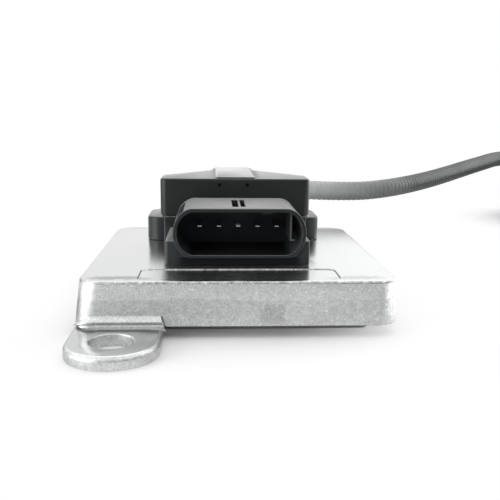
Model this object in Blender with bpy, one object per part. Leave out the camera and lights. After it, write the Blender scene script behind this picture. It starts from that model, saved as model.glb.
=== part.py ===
"""Nitrogen oxide sensor: control unit with its plug socket, sheathed cable and exhaust probe.

Lengths are in metres. The origin is the centre of the control unit's footprint, on the
plane of its mounting ears. +X is to the right and +Y runs from the socket to the cable.
"""

import math

import bmesh
import bpy
from mathutils import Matrix, Vector

MM = 0.001
GAP = 0.3 * MM

# Housing: one aluminium casting, open below
HOUSING_TOP_Z = 13.0 * MM
HOUSING_FOOT_Z = 2.8 * MM
HOUSING_TOP_HALF = 35.7 * MM
HOUSING_FOOT_HALF = 36.1 * MM
HOUSING_CORNER = 5.0 * MM
CORNER_FLARE = 0.95 * MM
WALL = 3.1 * MM
ROOF = 2.2 * MM
REBATE_HALF = 34.2 * MM
REBATE_Z = 5.5 * MM
EAR_X = 26.85 * MM
EAR_Y = 45.15 * MM
EAR_RADIUS = 9.95 * MM
EAR_ROOT_Y = 34.3 * MM
EAR_HEEL_Y = 32.2 * MM
EAR_THICKNESS = 2.8 * MM
EAR_HOLE_X = 27.0 * MM
EAR_HOLE_Y = 45.0 * MM
EAR_HOLE_RADIUS = 4.68 * MM
COIN_HALF_X = 22.6 * MM
COIN_FRONT_Y = -34.2 * MM
COIN_REAR_Y = -24.25 * MM
COIN_DEPTH = 0.35 * MM
WINDOW_HALF_X = 12.4 * MM
WINDOW_FRONT_Y = 0.5 * MM
WINDOW_REAR_Y = 27.0 * MM

# Board and its fixings
BOARD_HALF = 31.0 * MM
BOARD_LOW_Z = 6.5 * MM
BOARD_TOP_Z = 8.1 * MM
POST_PLACE = 27.0 * MM
POST_RADIUS = 2.7 * MM
SCREW_RADIUS = 1.1 * MM

# Plug socket and its base
BASE_Z = HOUSING_TOP_Z + GAP
WING_HALF_X = 24.3 * MM
WING_FRONT_Y = 12.5 * MM
WING_REAR_Y = 30.6 * MM
WING_TOP_Z = 19.8 * MM
WING_CORNER = 4.2 * MM
SHELF_LOW_Z = 21.6 * MM
SHELF_TOP_Z = 22.3 * MM
NECK_HALF_X = 19.0 * MM
FOOT_HALF_X = 17.45 * MM
FOOT_FRONT_Y = -20.3 * MM
FOOT_TOP_Z = 19.05 * MM
SOCKET_X = 0.4 * MM
SOCKET_Z = 20.9 * MM
SOCKET_HALF_X = 16.0 * MM
SOCKET_HALF_Z = 6.1 * MM
SOCKET_END_X = 4.5 * MM
SOCKET_FRONT_Y = -21.0 * MM
SOCKET_REAR_Y = -GAP
SOCKET_FLOOR_Y = -3.5 * MM
SOCKET_WALL = 0.8 * MM
TERMINAL_PITCH = 4.88 * MM
TERMINAL_COUNT = 5
TERMINAL_TIP_Y = -10.4 * MM
TERMINAL_Z = 21.08 * MM
TERMINAL_BEND_Y = 4.2 * MM
TERMINAL_WIDTH = 1.0 * MM
TERMINAL_THICKNESS = 0.6 * MM
TERMINAL_FOOT_Z = 5.4 * MM

# Cable hood, which narrows to the cable
HOOD_Z = SHELF_TOP_Z + GAP
HOOD_TOP_Z = 32.0 * MM
HOOD_FRONT_Y = 0.1 * MM
HOOD_HALF_X = 20.0 * MM
HOOD_BEND_Y = 11.0 * MM
HOOD_TAPER_Y = 28.4 * MM
HOOD_REAR_Y = 35.2 * MM
HOOD_REAR_HALF_X = 6.2 * MM
HOOD_CORNER = 2.2 * MM
HOOD_WALL = 1.6 * MM
RIDGE_RISE = 0.35 * MM
RIDGE_HALF_X = 5.35 * MM
RIDGE_HALF_Y = 16.6 * MM
RIDGE_Y = 17.65 * MM
THROAT_RADIUS = 4.55 * MM

# Cable: a sheathed bundle, its coil and its rubber boot
CABLE_RADIUS = 3.6 * MM
CABLE_SPACING = 14.0 * MM
CABLE_EXIT = Vector((0.0, 35.6 * MM, 25.2 * MM))
BOOT_LENGTH = 15.0 * MM
COIL_X = 184.0 * MM
COIL_Y = 134.0 * MM
COIL_RADIUS = 40.0 * MM
COIL_LAYER = 7.5 * MM
COIL_LOW_Z = 5.0 * MM
LEAD_RADIUS = 0.6 * MM
LEAD_COUNT = 6
LEAD_PITCH = 1.9 * MM
LEAD_DROP_Y = 15.0 * MM
FLANGE_LENGTH = 13.6 * MM

# Probe, lying on a flat of its screw and pointing along -Y
PROBE_X = 224.0 * MM
PROBE_REAR_Y = 80.0 * MM
PROBE_Z = 11.0 * MM
HEX_FLATS = 22.0 * MM

ROUND_STEPS = 22

# The cable's route from the hood to the coil, in millimetres, point by point
CABLE_ROUTE = [
    (0.0, 35.6, 25.2),
    (0.8, 46.0, 24.7),
    (5.2, 57.5, 23.8),
    (14.0, 68.0, 22.2),
    (26.0, 75.5, 20.9),
    (39.0, 79.0, 20.0),
    (52.0, 81.5, 19.8),
    (64.0, 87.5, 20.3),
    (76.0, 97.5, 21.0),
    (88.0, 109.5, 21.9),
    (100.0, 121.5, 23.2),
    (112.0, 133.5, 24.7),
    (124.0, 145.5, 26.1),
    (136.0, 157.0, 27.4),
    (148.0, 166.0, 27.4),
    (160.0, 171.6, 25.6),
    (172.0, 173.8, 22.8),
]


def material(name, colour, roughness, metallic):
    """A plain Principled material."""
    made = bpy.data.materials.get(name)
    if made is None:
        made = bpy.data.materials.new(name)
        made.use_nodes = True
        shader = made.node_tree.nodes["Principled BSDF"]
        shader.inputs["Base Color"].default_value = (*colour, 1.0)
        shader.inputs["Roughness"].default_value = roughness
        shader.inputs["Metallic"].default_value = metallic
    return made


def cast_aluminium():
    return material("cast_aluminium", (0.62, 0.63, 0.63), 0.38, 1.0)


def sheet_aluminium():
    return material("sheet_aluminium", (0.60, 0.61, 0.62), 0.32, 1.0)


def black_moulding():
    return material("black_moulding", (0.018, 0.019, 0.020), 0.42, 0.0)


def seal_rubber():
    return material("seal_rubber", (0.03, 0.03, 0.032), 0.7, 0.0)


def tinned_copper():
    return material("tinned_copper", (0.72, 0.70, 0.66), 0.25, 1.0)


def board_green():
    return material("board_green", (0.02, 0.10, 0.05), 0.45, 0.0)


def chip_black():
    return material("chip_black", (0.02, 0.02, 0.02), 0.5, 0.0)


def cable_sheath():
    return material("cable_sheath", (0.035, 0.036, 0.037), 0.55, 0.0)


def stainless():
    return material("stainless", (0.55, 0.54, 0.52), 0.3, 1.0)


def white_ceramic():
    return material("white_ceramic", (0.85, 0.84, 0.80), 0.45, 0.0)


def finish_object(name, mesh, finish, smooth_angle=None):
    """Links a mesh as one named object with its material."""
    made = bpy.data.objects.new(name, mesh)
    made.data.materials.append(finish)
    bpy.context.scene.collection.objects.link(made)
    if smooth_angle is not None:
        mesh.shade_smooth()
        mesh.set_sharp_from_angle(angle=math.radians(smooth_angle))
    return made


def loft(name, rings, finish, closed_loop=False, smooth_angle=35.0):
    """Skins rings of equal point count, and caps the ends or joins the last ring to the first."""
    shape = bmesh.new()
    rows = [[shape.verts.new(point) for point in ring] for ring in rings]
    spans = list(zip(rows, rows[1:]))
    if closed_loop:
        spans.append((rows[-1], rows[0]))
    for lower, upper in spans:
        count = len(lower)
        for index in range(count):
            after = (index + 1) % count
            shape.faces.new((lower[index], lower[after], upper[after], upper[index]))
    if not closed_loop:
        shape.faces.new(list(reversed(rows[0])))
        shape.faces.new(rows[-1])
    bmesh.ops.recalc_face_normals(shape, faces=shape.faces)
    mesh = bpy.data.meshes.new(name)
    shape.to_mesh(mesh)
    shape.free()
    return finish_object(name, mesh, finish, smooth_angle)


def rounded_rectangle(half_x, half_y, radius, steps=6, centre=(0.0, 0.0)):
    """Points of a rectangle with round corners, anticlockwise."""
    points = []
    for corner in range(4):
        side_x = 1 if corner in (0, 3) else -1
        side_y = 1 if corner in (0, 1) else -1
        hub_x = centre[0] + side_x * (half_x - radius)
        hub_y = centre[1] + side_y * (half_y - radius)
        for step in range(steps + 1):
            angle = math.radians(90.0) * (corner + step / steps)
            points.append((hub_x + radius * math.cos(angle), hub_y + radius * math.sin(angle)))
    return points


def at_height(outline, z):
    return [(x, y, z) for x, y in outline]


def prism(name, outline, low, high, finish, smooth_angle=35.0):
    """An upright block of one outline."""
    return loft(name, [at_height(outline, low), at_height(outline, high)], finish, False, smooth_angle)


def block(name, low, high, finish, radius=None):
    """A box between two corners, with round upright edges where a radius is given."""
    half_x = (high[0] - low[0]) / 2
    half_y = (high[1] - low[1]) / 2
    centre = ((high[0] + low[0]) / 2, (high[1] + low[1]) / 2)
    if radius is None:
        outline = [
            (centre[0] - half_x, centre[1] - half_y),
            (centre[0] + half_x, centre[1] - half_y),
            (centre[0] + half_x, centre[1] + half_y),
            (centre[0] - half_x, centre[1] + half_y),
        ]
    else:
        outline = rounded_rectangle(half_x, half_y, radius, 4, centre)
    return prism(name, outline, low[2], high[2], finish)


def turned(name, profile, finish, hollow=False, steps=ROUND_STEPS, smooth_angle=35.0):
    """Turns a profile of (radius, height) points about the object's own Z axis."""
    rings = []
    for radius, height in profile:
        ring = []
        for step in range(steps):
            angle = math.tau * step / steps
            ring.append((radius * math.cos(angle), radius * math.sin(angle), height))
        rings.append(ring)
    return loft(name, rings, finish, hollow, smooth_angle)


def place(made, location, rotation=(0.0, 0.0, 0.0)):
    made.location = location
    made.rotation_euler = rotation
    return made


def combine(target, tool, operation):
    """Adds a live Boolean and turns its tool into a hidden helper."""
    tool.hide_render = True
    tool.display_type = "WIRE"
    change = target.modifiers.new(tool.name, "BOOLEAN")
    change.operation = operation
    change.solver = "EXACT"
    change.object = tool
    return target


def cut(target, tool):
    return combine(target, tool, "DIFFERENCE")


def join(target, tool):
    return combine(target, tool, "UNION")


def cut_all(target, name, tools):
    """Cuts several separate tools at once, as one helper."""
    shape = bmesh.new()
    for tool in tools:
        part = tool.data
        part.transform(tool.matrix_basis)
        shape.from_mesh(part)
        bpy.data.objects.remove(tool)
    mesh = bpy.data.meshes.new(name)
    shape.to_mesh(mesh)
    shape.free()
    return cut(target, finish_object(name, mesh, target.data.materials[0]))


def half_turn(made):
    """Turns a helper half way about the unit's upright axis."""
    made.data.transform(Matrix.Rotation(math.pi, 4, "Z"))
    return made


def ear_outline(radius, side):
    """A tongue with a round end, in front (side -1) or at the back (side 1)."""
    points = [(side * (EAR_X - radius), side * EAR_ROOT_Y)]
    for step in range(17):
        angle = math.pi * step / 16
        points.append(
            (
                side * (EAR_X - radius * math.cos(angle)),
                side * (EAR_Y + radius * math.sin(angle)),
            )
        )
    points.append((side * (EAR_X + radius), side * EAR_HEEL_Y))
    points.append((side * (EAR_X + radius - 1.7 * MM), side * EAR_ROOT_Y))
    return points


def make_ear(name, side):
    """A mounting ear with its upper edge rolled over."""
    levels = [(0.0, 0.3), (0.3, 0.0), (1.7, 0.0), (2.4, 0.3), (2.8, 1.0)]
    rings = []
    for height, inset in levels:
        rings.append(at_height(ear_outline(EAR_RADIUS - inset * MM, side), height * MM))
    return loft(name, rings, cast_aluminium())


def flared(outline, half, amount):
    """Pushes two opposite corners of an outline outwards, beside the ears."""
    pushed = []
    for x, y in outline:
        side = -1 if x < 0.0 else 1
        share = 0.5 + 0.5 * side * y / half
        pushed.append((x + amount * share * x / half * side, y))
    return pushed


def make_ear_root(name):
    """The low ledge where the front wall runs out over its ear; it dies away at the corner."""
    stations = [(-35.9, 1.6, 2.9, 3.6), (-32.8, 0.0, 4.2, 6.0), (-17.25, 0.0, 4.25, 6.1)]
    rings = []
    for x, shift, lip_z, wall_z in stations:
        section = [(-35.4, 2.0), (-37.1, 2.0), (-36.95, lip_z), (-36.8, lip_z + 0.2), (-35.4, wall_z)]
        rings.append([(x * MM, (y + shift) * MM, z * MM) for y, z in section])
    return loft(name, rings, cast_aluminium())


def make_housing():
    """The cast housing: drafted walls, rolled top edge, two ears, a coined panel and a window."""
    roll = 0.5 * MM
    levels = [
        (HOUSING_FOOT_Z, HOUSING_FOOT_HALF - 0.35 * MM),
        (HOUSING_FOOT_Z + 0.4 * MM, HOUSING_FOOT_HALF),
        (HOUSING_TOP_Z - roll, HOUSING_TOP_HALF + 0.1 * MM),
        (HOUSING_TOP_Z - 0.4 * roll, HOUSING_TOP_HALF - 0.05 * MM),
        (HOUSING_TOP_Z, HOUSING_TOP_HALF - 0.5 * MM),
    ]
    rings = []
    for height, half in levels:
        corner = HOUSING_CORNER - (HOUSING_FOOT_HALF - half)
        outline = rounded_rectangle(half, half, corner)
        flare = CORNER_FLARE * (HOUSING_TOP_Z - height) / (HOUSING_TOP_Z - HOUSING_FOOT_Z)
        rings.append(at_height(flared(outline, half, flare), height))
    shell = loft("housing_shell", rings, cast_aluminium())

    inner = HOUSING_TOP_HALF - WALL
    hollow_rings = [
        at_height(rounded_rectangle(inner + 0.5 * MM, inner + 0.5 * MM, 3.0 * MM), 0.0),
        at_height(rounded_rectangle(inner, inner, 2.6 * MM), HOUSING_TOP_Z - ROOF),
    ]
    cut(shell, loft("hollow_cutter", hollow_rings, cast_aluminium()))
    rebate = rounded_rectangle(REBATE_HALF, REBATE_HALF, 3.4 * MM)
    cut(shell, prism("rebate_cutter", rebate, 0.0, REBATE_Z, cast_aluminium()))

    for side, label in ((-1, "front"), (1, "rear")):
        join(shell, make_ear(label + "_ear", side))
        root = make_ear_root(label + "_ear_root")
        notch_low = (-17.2 * MM, -37.5 * MM, 2.0 * MM)
        notch_high = (-16.5 * MM, -35.3 * MM, 4.9 * MM)
        notch = block(label + "_notch_cutter", notch_low, notch_high, cast_aluminium())
        if side > 0:
            half_turn(root)
            half_turn(notch)
        join(shell, root)
        cut(shell, notch)
        hole_profile = [
            (EAR_HOLE_RADIUS, -1.0 * MM),
            (EAR_HOLE_RADIUS, EAR_THICKNESS - 0.3 * MM),
            (EAR_HOLE_RADIUS + 0.4 * MM, EAR_THICKNESS + 0.1 * MM),
            (EAR_HOLE_RADIUS + 0.4 * MM, EAR_THICKNESS + 1.0 * MM),
        ]
        hole = turned(label + "_ear_hole", hole_profile, cast_aluminium())
        place(hole, (side * EAR_HOLE_X, side * EAR_HOLE_Y, 0.0))
        cut(shell, hole)

    coin_centre = (0.0, (COIN_FRONT_Y + COIN_REAR_Y) / 2)
    coin_half_y = (COIN_REAR_Y - COIN_FRONT_Y) / 2
    coin = rounded_rectangle(COIN_HALF_X, coin_half_y, 1.0 * MM, 4, coin_centre)
    coin_low = HOUSING_TOP_Z - COIN_DEPTH
    cut(shell, prism("coin_cutter", coin, coin_low, HOUSING_TOP_Z + 1.0 * MM, cast_aluminium()))

    window_low = (-WINDOW_HALF_X, WINDOW_FRONT_Y, HOUSING_TOP_Z - 2 * ROOF)
    window_high = (WINDOW_HALF_X, WINDOW_REAR_Y, HOUSING_TOP_Z + 1.0 * MM)
    cut(shell, block("window_cutter", window_low, window_high, cast_aluminium(), 2.0 * MM))

    for index, (x, y) in enumerate(post_places(), 1):
        post_profile = [
            (POST_RADIUS, BOARD_TOP_Z + GAP),
            (POST_RADIUS, HOUSING_TOP_Z - 0.5 * ROOF),
        ]
        post = turned("post_%d" % index, post_profile, cast_aluminium(), steps=12)
        join(shell, place(post, (x, y, 0.0)))
    pilots = []
    for index, (x, y) in enumerate(post_places(), 1):
        pilot_profile = [
            (SCREW_RADIUS + GAP, BOARD_TOP_Z - 1.0 * MM),
            (SCREW_RADIUS + GAP, HOUSING_TOP_Z - 0.7 * ROOF),
        ]
        pilot = turned("pilot_%d" % index, pilot_profile, cast_aluminium(), steps=8)
        pilots.append(place(pilot, (x, y, 0.0)))
    bpy.context.view_layer.update()
    cut_all(shell, "pilot_cutter", pilots)
    return shell


def post_places():
    """The four places where the board is screwed to the roof."""
    places = []
    for side_x in (-1, 1):
        for side_y in (-1, 1):
            places.append((side_x * POST_PLACE, side_y * POST_PLACE))
    return places


def make_bottom_plate():
    """A pressed cover: a shallow pan on the mounting plane with a flange in the rebate."""
    steps = [
        (29.4, 0.0, 4.0),
        (31.0, 2.9, 4.4),
        (33.9, 2.9, 3.1),
        (33.9, 4.1, 3.1),
        (30.3, 4.1, 4.0),
        (28.8, 1.2, 3.6),
    ]
    rings = []
    for half, height, corner in steps:
        outline = rounded_rectangle(half * MM, half * MM, corner * MM)
        rings.append(at_height(outline, height * MM))
    return loft("bottom_plate", rings, sheet_aluminium())


def make_bottom_seal():
    """The bead between the cover's flange and the rebate."""
    inner = rounded_rectangle(32.9 * MM, 32.9 * MM, 2.4 * MM)
    outer = rounded_rectangle(33.8 * MM, 33.8 * MM, 3.0 * MM)
    low = 4.1 * MM + GAP
    high = REBATE_Z - GAP
    rings = [at_height(inner, low), at_height(outer, low), at_height(outer, high), at_height(inner, high)]
    return loft("bottom_seal", rings, seal_rubber(), closed_loop=True)


def socket_outline(inset, centre_x=SOCKET_X, centre_z=SOCKET_Z):
    """The socket's long rounded section, as (x, z) points."""
    half_x = SOCKET_HALF_X - inset
    half_z = SOCKET_HALF_Z - inset
    end_x = SOCKET_END_X - 0.5 * inset
    points = []
    steps = 12
    for side in (1, -1):
        hub = centre_x + side * (half_x - end_x)
        for step in range(steps + 1):
            angle = math.pi * (step / steps - 0.5)
            bulge_x = end_x * math.cos(angle) ** 0.9
            bulge_z = half_z * math.copysign(abs(math.sin(angle)) ** 0.9, math.sin(angle))
            points.append((hub + side * bulge_x, centre_z + side * bulge_z))
    return points


def socket_ring(inset, y):
    return [(x, y, z) for x, z in socket_outline(inset)]


def hood_outline(inset):
    """The hood's plan: a square front that narrows to a short throat."""
    half = HOOD_HALF_X - inset
    rear_half = HOOD_REAR_HALF_X - inset
    front = HOOD_FRONT_Y + inset
    rear = HOOD_REAR_Y - inset
    corner = max(HOOD_CORNER - inset, 0.5 * MM)
    points = []
    for step in range(6):
        angle = math.radians(-90.0 + 90.0 * step / 5)
        hub = (half - corner, front + corner)
        points.append((hub[0] + corner * math.cos(angle), hub[1] + corner * math.sin(angle)))
    points.append((half, HOOD_BEND_Y))
    points.append((rear_half, HOOD_TAPER_Y))
    points.append((rear_half, rear - 0.8 * MM))
    points.append((rear_half - 0.8 * MM, rear))
    mirrored = [(-x, y) for x, y in reversed(points)]
    return points + mirrored


def terminal_places():
    middle = (TERMINAL_COUNT - 1) / 2
    return [SOCKET_X + (index - middle) * TERMINAL_PITCH for index in range(TERMINAL_COUNT)]


def make_connector_body():
    """One black moulding: wings, neck, pedestal, shelf, foot and the plug socket."""
    wing_levels = [
        (BASE_Z, 0.0),
        (WING_TOP_Z - 0.7 * MM, 0.0),
        (WING_TOP_Z - 0.2 * MM, 0.2 * MM),
        (WING_TOP_Z, 0.6 * MM),
    ]
    wing_half_y = (WING_REAR_Y - WING_FRONT_Y) / 2
    wing_centre = (0.0, (WING_REAR_Y + WING_FRONT_Y) / 2)
    rings = []
    for height, inset in wing_levels:
        half_y = wing_half_y - inset
        outline = rounded_rectangle(WING_HALF_X - inset, half_y, WING_CORNER - inset, 5, wing_centre)
        rings.append(at_height(outline, height))
    body = loft("connector_body", rings, black_moulding())

    neck_top = SHELF_LOW_Z + 0.3 * MM
    neck_low = (-NECK_HALF_X, -0.6 * MM, BASE_Z)
    neck_high = (NECK_HALF_X, WING_FRONT_Y + 2.0 * MM, neck_top)
    join(body, block("neck", neck_low, neck_high, black_moulding(), 0.5 * MM))
    pedestal = hood_outline(1.2 * MM)
    join(body, prism("pedestal", pedestal, WING_TOP_Z - 0.8 * MM, neck_top, black_moulding()))
    shelf = hood_outline(0.3 * MM)
    join(body, prism("shelf", shelf, SHELF_LOW_Z, SHELF_TOP_Z, black_moulding()))

    foot_levels = [
        (BASE_Z, 0.5),
        (BASE_Z + 0.7 * MM, 0.0),
        (FOOT_TOP_Z - 0.25 * MM, 0.0),
        (FOOT_TOP_Z, 0.25),
    ]
    foot_half_y = (0.0 - FOOT_FRONT_Y) / 2
    foot_centre = (0.0, FOOT_FRONT_Y / 2)
    rings = []
    for height, inset in foot_levels:
        outline = rounded_rectangle(FOOT_HALF_X - inset * MM, foot_half_y, 1.2 * MM, 4, foot_centre)
        rings.append(at_height(outline, height))
    join(body, loft("foot", rings, black_moulding()))

    socket_rings = [
        socket_ring(0.25 * MM, SOCKET_FRONT_Y),
        socket_ring(0.0, SOCKET_FRONT_Y + 0.3 * MM),
        socket_ring(0.0, SOCKET_REAR_Y),
    ]
    join(body, loft("socket", socket_rings, black_moulding()))
    pocket_rings = [
        socket_ring(SOCKET_WALL - 0.15 * MM, SOCKET_FRONT_Y - 0.2 * MM),
        socket_ring(SOCKET_WALL, SOCKET_FRONT_Y + 0.4 * MM),
        socket_ring(SOCKET_WALL, SOCKET_FLOOR_Y),
    ]
    cut(body, loft("socket_cutter", pocket_rings, black_moulding()))

    rib_low = (12.7 * MM, SOCKET_FRONT_Y + 3.0 * MM, 18.7 * MM)
    rib_high = (13.25 * MM, SOCKET_FLOOR_Y + 0.4 * MM, 26.5 * MM)
    join(body, block("key_rib", rib_low, rib_high, black_moulding()))
    toe_low = (12.9 * MM, SOCKET_FRONT_Y + 3.0 * MM, 18.7 * MM)
    toe_high = (13.9 * MM, SOCKET_FLOOR_Y + 0.4 * MM, 19.2 * MM)
    join(body, block("key_toe", toe_low, toe_high, black_moulding()))
    tab_low = (5.9 * MM, SOCKET_FRONT_Y + 3.5 * MM, 25.2 * MM)
    tab_high = (8.3 * MM, SOCKET_FLOOR_Y + 0.4 * MM, 26.5 * MM)
    join(body, block("key_tab", tab_low, tab_high, black_moulding()))

    slots = []
    for label, low_x, high_x in (("left", -1.0 * MM, 0.25 * MM), ("right", 0.75 * MM, 2.05 * MM)):
        slot_low = (low_x, -17.4 * MM, 25.6 * MM)
        slot_high = (high_x, -4.8 * MM, 27.6 * MM)
        slots.append(block(label + "_latch_slot", slot_low, slot_high, black_moulding()))
    for index, x in enumerate(terminal_places(), 1):
        half_x = TERMINAL_WIDTH / 2 + GAP
        half_z = TERMINAL_THICKNESS / 2 + GAP
        slot_low = (x - half_x, SOCKET_FLOOR_Y - 1.0 * MM, TERMINAL_Z - half_z)
        slot_high = (x + half_x, 1.6 * MM, TERMINAL_Z + half_z)
        slots.append(block("terminal_slot_%d" % index, slot_low, slot_high, black_moulding()))
    cut_all(body, "slot_cutter", slots)

    hollow_low = (-12.0 * MM, 0.9 * MM, 12.0 * MM)
    hollow_high = (12.0 * MM, 26.6 * MM, 18.6 * MM)
    cut(body, block("base_hollow_cutter", hollow_low, hollow_high, black_moulding(), 1.5 * MM))
    bend_low = (-11.4 * MM, 1.0 * MM, 18.0 * MM)
    bend_high = (11.9 * MM, 6.4 * MM, 21.72 * MM)
    cut(body, block("bend_hollow_cutter", bend_low, bend_high, black_moulding(), 0.6 * MM))
    lead_low = (-6.8 * MM, 12.4 * MM, 18.0 * MM)
    lead_high = (6.8 * MM, 17.6 * MM, 23.5 * MM)
    cut(body, block("lead_window_cutter", lead_low, lead_high, black_moulding(), 1.0 * MM))

    cradle_profile = [
        (5.2 * MM, 21.6 * MM),
        (5.2 * MM, 24.4 * MM),
        (THROAT_RADIUS, 24.4 * MM),
        (THROAT_RADIUS, 37.0 * MM),
    ]
    cradle = turned("cradle_cutter", cradle_profile, black_moulding())
    place(cradle, (0.0, 0.0, CABLE_EXIT.z), (math.radians(-90.0), 0.0, 0.0))
    cut(body, cradle)

    groove_centre = (0.0, (WINDOW_FRONT_Y + WINDOW_REAR_Y) / 2)
    groove_half_y = (WINDOW_REAR_Y - WINDOW_FRONT_Y) / 2
    groove_inner = rounded_rectangle(13.1 * MM, groove_half_y + 0.7 * MM, 2.2 * MM, 4, groove_centre)
    groove_outer = rounded_rectangle(15.1 * MM, groove_half_y + 2.7 * MM, 3.2 * MM, 4, groove_centre)
    groove_rings = [
        at_height(groove_inner, BASE_Z - 1.0 * MM),
        at_height(groove_outer, BASE_Z - 1.0 * MM),
        at_height(groove_outer, BASE_Z + 1.3 * MM),
        at_height(groove_inner, BASE_Z + 1.3 * MM),
    ]
    cut(body, loft("gasket_groove_cutter", groove_rings, black_moulding(), closed_loop=True))
    return body


def make_header_gasket():
    """The ring that seals the moulding to the housing's roof, in its own groove."""
    centre = (0.0, (WINDOW_FRONT_Y + WINDOW_REAR_Y) / 2)
    half_y = (WINDOW_REAR_Y - WINDOW_FRONT_Y) / 2
    inner = rounded_rectangle(13.4 * MM, half_y + 1.0 * MM, 2.4 * MM, 4, centre)
    outer = rounded_rectangle(14.8 * MM, half_y + 2.4 * MM, 3.0 * MM, 4, centre)
    low = HOUSING_TOP_Z + GAP
    high = low + 1.0 * MM
    rings = [at_height(inner, low), at_height(outer, low), at_height(outer, high), at_height(inner, high)]
    return loft("header_gasket", rings, seal_rubber(), closed_loop=True)


def make_terminals():
    """Five bent blades from the socket down to the board."""
    bend = 1.4 * MM
    half = TERMINAL_THICKNESS / 2
    outline = [
        (TERMINAL_TIP_Y, TERMINAL_Z - 0.12 * MM),
        (TERMINAL_TIP_Y, TERMINAL_Z + 0.12 * MM),
        (TERMINAL_TIP_Y + 0.7 * MM, TERMINAL_Z + half),
    ]
    for radius, turns in ((bend + half, range(6)), (bend - half, range(5, -1, -1))):
        arc = []
        for step in turns:
            angle = math.radians(90.0 * step / 5)
            arc.append(
                (
                    TERMINAL_BEND_Y - bend + radius * math.sin(angle),
                    TERMINAL_Z - bend + radius * math.cos(angle),
                )
            )
        if radius > bend:
            outline += arc
            outline.append((TERMINAL_BEND_Y + half, TERMINAL_FOOT_Z + 0.4 * MM))
            outline.append((TERMINAL_BEND_Y, TERMINAL_FOOT_Z))
            outline.append((TERMINAL_BEND_Y - half, TERMINAL_FOOT_Z + 0.4 * MM))
        else:
            outline += arc
    outline.append((TERMINAL_TIP_Y + 0.7 * MM, TERMINAL_Z - half))
    for index, x in enumerate(terminal_places(), 1):
        left = [(x - TERMINAL_WIDTH / 2, y, z) for y, z in outline]
        right = [(x + TERMINAL_WIDTH / 2, y, z) for y, z in outline]
        loft("terminal_%d" % index, [left, right], tinned_copper())


def make_cable_hood():
    """The cover over the lead ends, with a low ridge along its middle and a round throat."""
    levels = [(HOOD_Z, 0.0), (31.2 * MM, 0.2 * MM), (31.75 * MM, 0.4 * MM), (HOOD_TOP_Z, 0.85 * MM)]
    rings = [at_height(hood_outline(inset), height) for height, inset in levels]
    hood = loft("cable_hood", rings, black_moulding())
    ridge_levels = [(31.0 * MM, 0.0), (HOOD_TOP_Z + 0.15 * MM, 0.0), (HOOD_TOP_Z + RIDGE_RISE, 0.3 * MM)]
    rings = []
    for height, inset in ridge_levels:
        half_x = RIDGE_HALF_X - inset
        half_y = RIDGE_HALF_Y - inset
        outline = rounded_rectangle(half_x, half_y, 0.9 * MM - inset, 3, (0.0, RIDGE_Y))
        rings.append(at_height(outline, height))
    join(hood, loft("ridge", rings, black_moulding()))
    inside = hood_outline(HOOD_WALL)
    ceiling = HOOD_TOP_Z - HOOD_WALL
    cut(hood, prism("hood_hollow_cutter", inside, HOOD_Z - 1.0 * MM, ceiling, black_moulding()))
    throat_profile = [(THROAT_RADIUS, 30.0 * MM), (THROAT_RADIUS, 38.0 * MM)]
    throat = turned("throat_cutter", throat_profile, black_moulding())
    place(throat, (0.0, 0.0, CABLE_EXIT.z), (math.radians(-90.0), 0.0, 0.0))
    cut(hood, throat)
    marks = []
    for label, x in (("left", -4.2 * MM), ("right", 3.15 * MM)):
        mark_low = (x - 0.55 * MM, -1.0 * MM, 30.0 * MM)
        mark_high = (x + 0.55 * MM, 0.9 * MM, 30.75 * MM)
        marks.append(block(label + "_gate_mark", mark_low, mark_high, black_moulding()))
    cut_all(hood, "mark_cutter", marks)
    return hood


def smooth_route(points, samples=12):
    """Points along a smooth curve through the given ones, every sample about a millimetre."""
    ends = [2 * points[0] - points[1]] + points + [2 * points[-1] - points[-2]]
    curve = []
    for index in range(1, len(ends) - 2):
        before, start, end, after = ends[index - 1 : index + 3]
        for step in range(samples):
            t = step / samples
            curve.append(
                0.5
                * (
                    2 * start
                    + (end - before) * t
                    + (2 * before - 5 * start + 4 * end - after) * t * t
                    + (3 * start - before - 3 * end + after) * t * t * t
                )
            )
    curve.append(points[-1].copy())
    return curve


def along(curve, distance):
    """The point and direction at a distance along a curve."""
    left = distance
    for start, end in zip(curve, curve[1:]):
        piece = (end - start).length
        if left <= piece:
            return start.lerp(end, left / piece), (end - start).normalized()
        left -= piece
    return curve[-1].copy(), (curve[-1] - curve[-2]).normalized()


def curve_length(curve):
    return sum((end - start).length for start, end in zip(curve, curve[1:]))


def coil_point(degrees, z):
    """A point of the coil's middle circle, measured from +X towards +Y."""
    angle = math.radians(degrees)
    return Vector((COIL_X + COIL_RADIUS * math.cos(angle), COIL_Y + COIL_RADIUS * math.sin(angle), z))


def cable_curve():
    """The cable from the hood's throat to the start of the coil's second layer."""
    points = [Vector(point) * MM for point in CABLE_ROUTE]
    top_z = COIL_LOW_Z + 2 * COIL_LAYER
    for degrees in range(90, -1, -15):
        points.append(coil_point(degrees, top_z + (0.3 * MM if degrees < 90 else 0.6 * MM)))
    return smooth_route(points)


def ring_at(centre, direction, radius, sides):
    """A ring of points square to a direction."""
    across = direction.cross(Vector((0.0, 0.0, 1.0))).normalized()
    upward = across.cross(direction).normalized()
    ring = []
    for side in range(sides):
        angle = math.tau * side / sides
        ring.append(centre + radius * (math.cos(angle) * across + math.sin(angle) * upward))
    return ring


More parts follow.
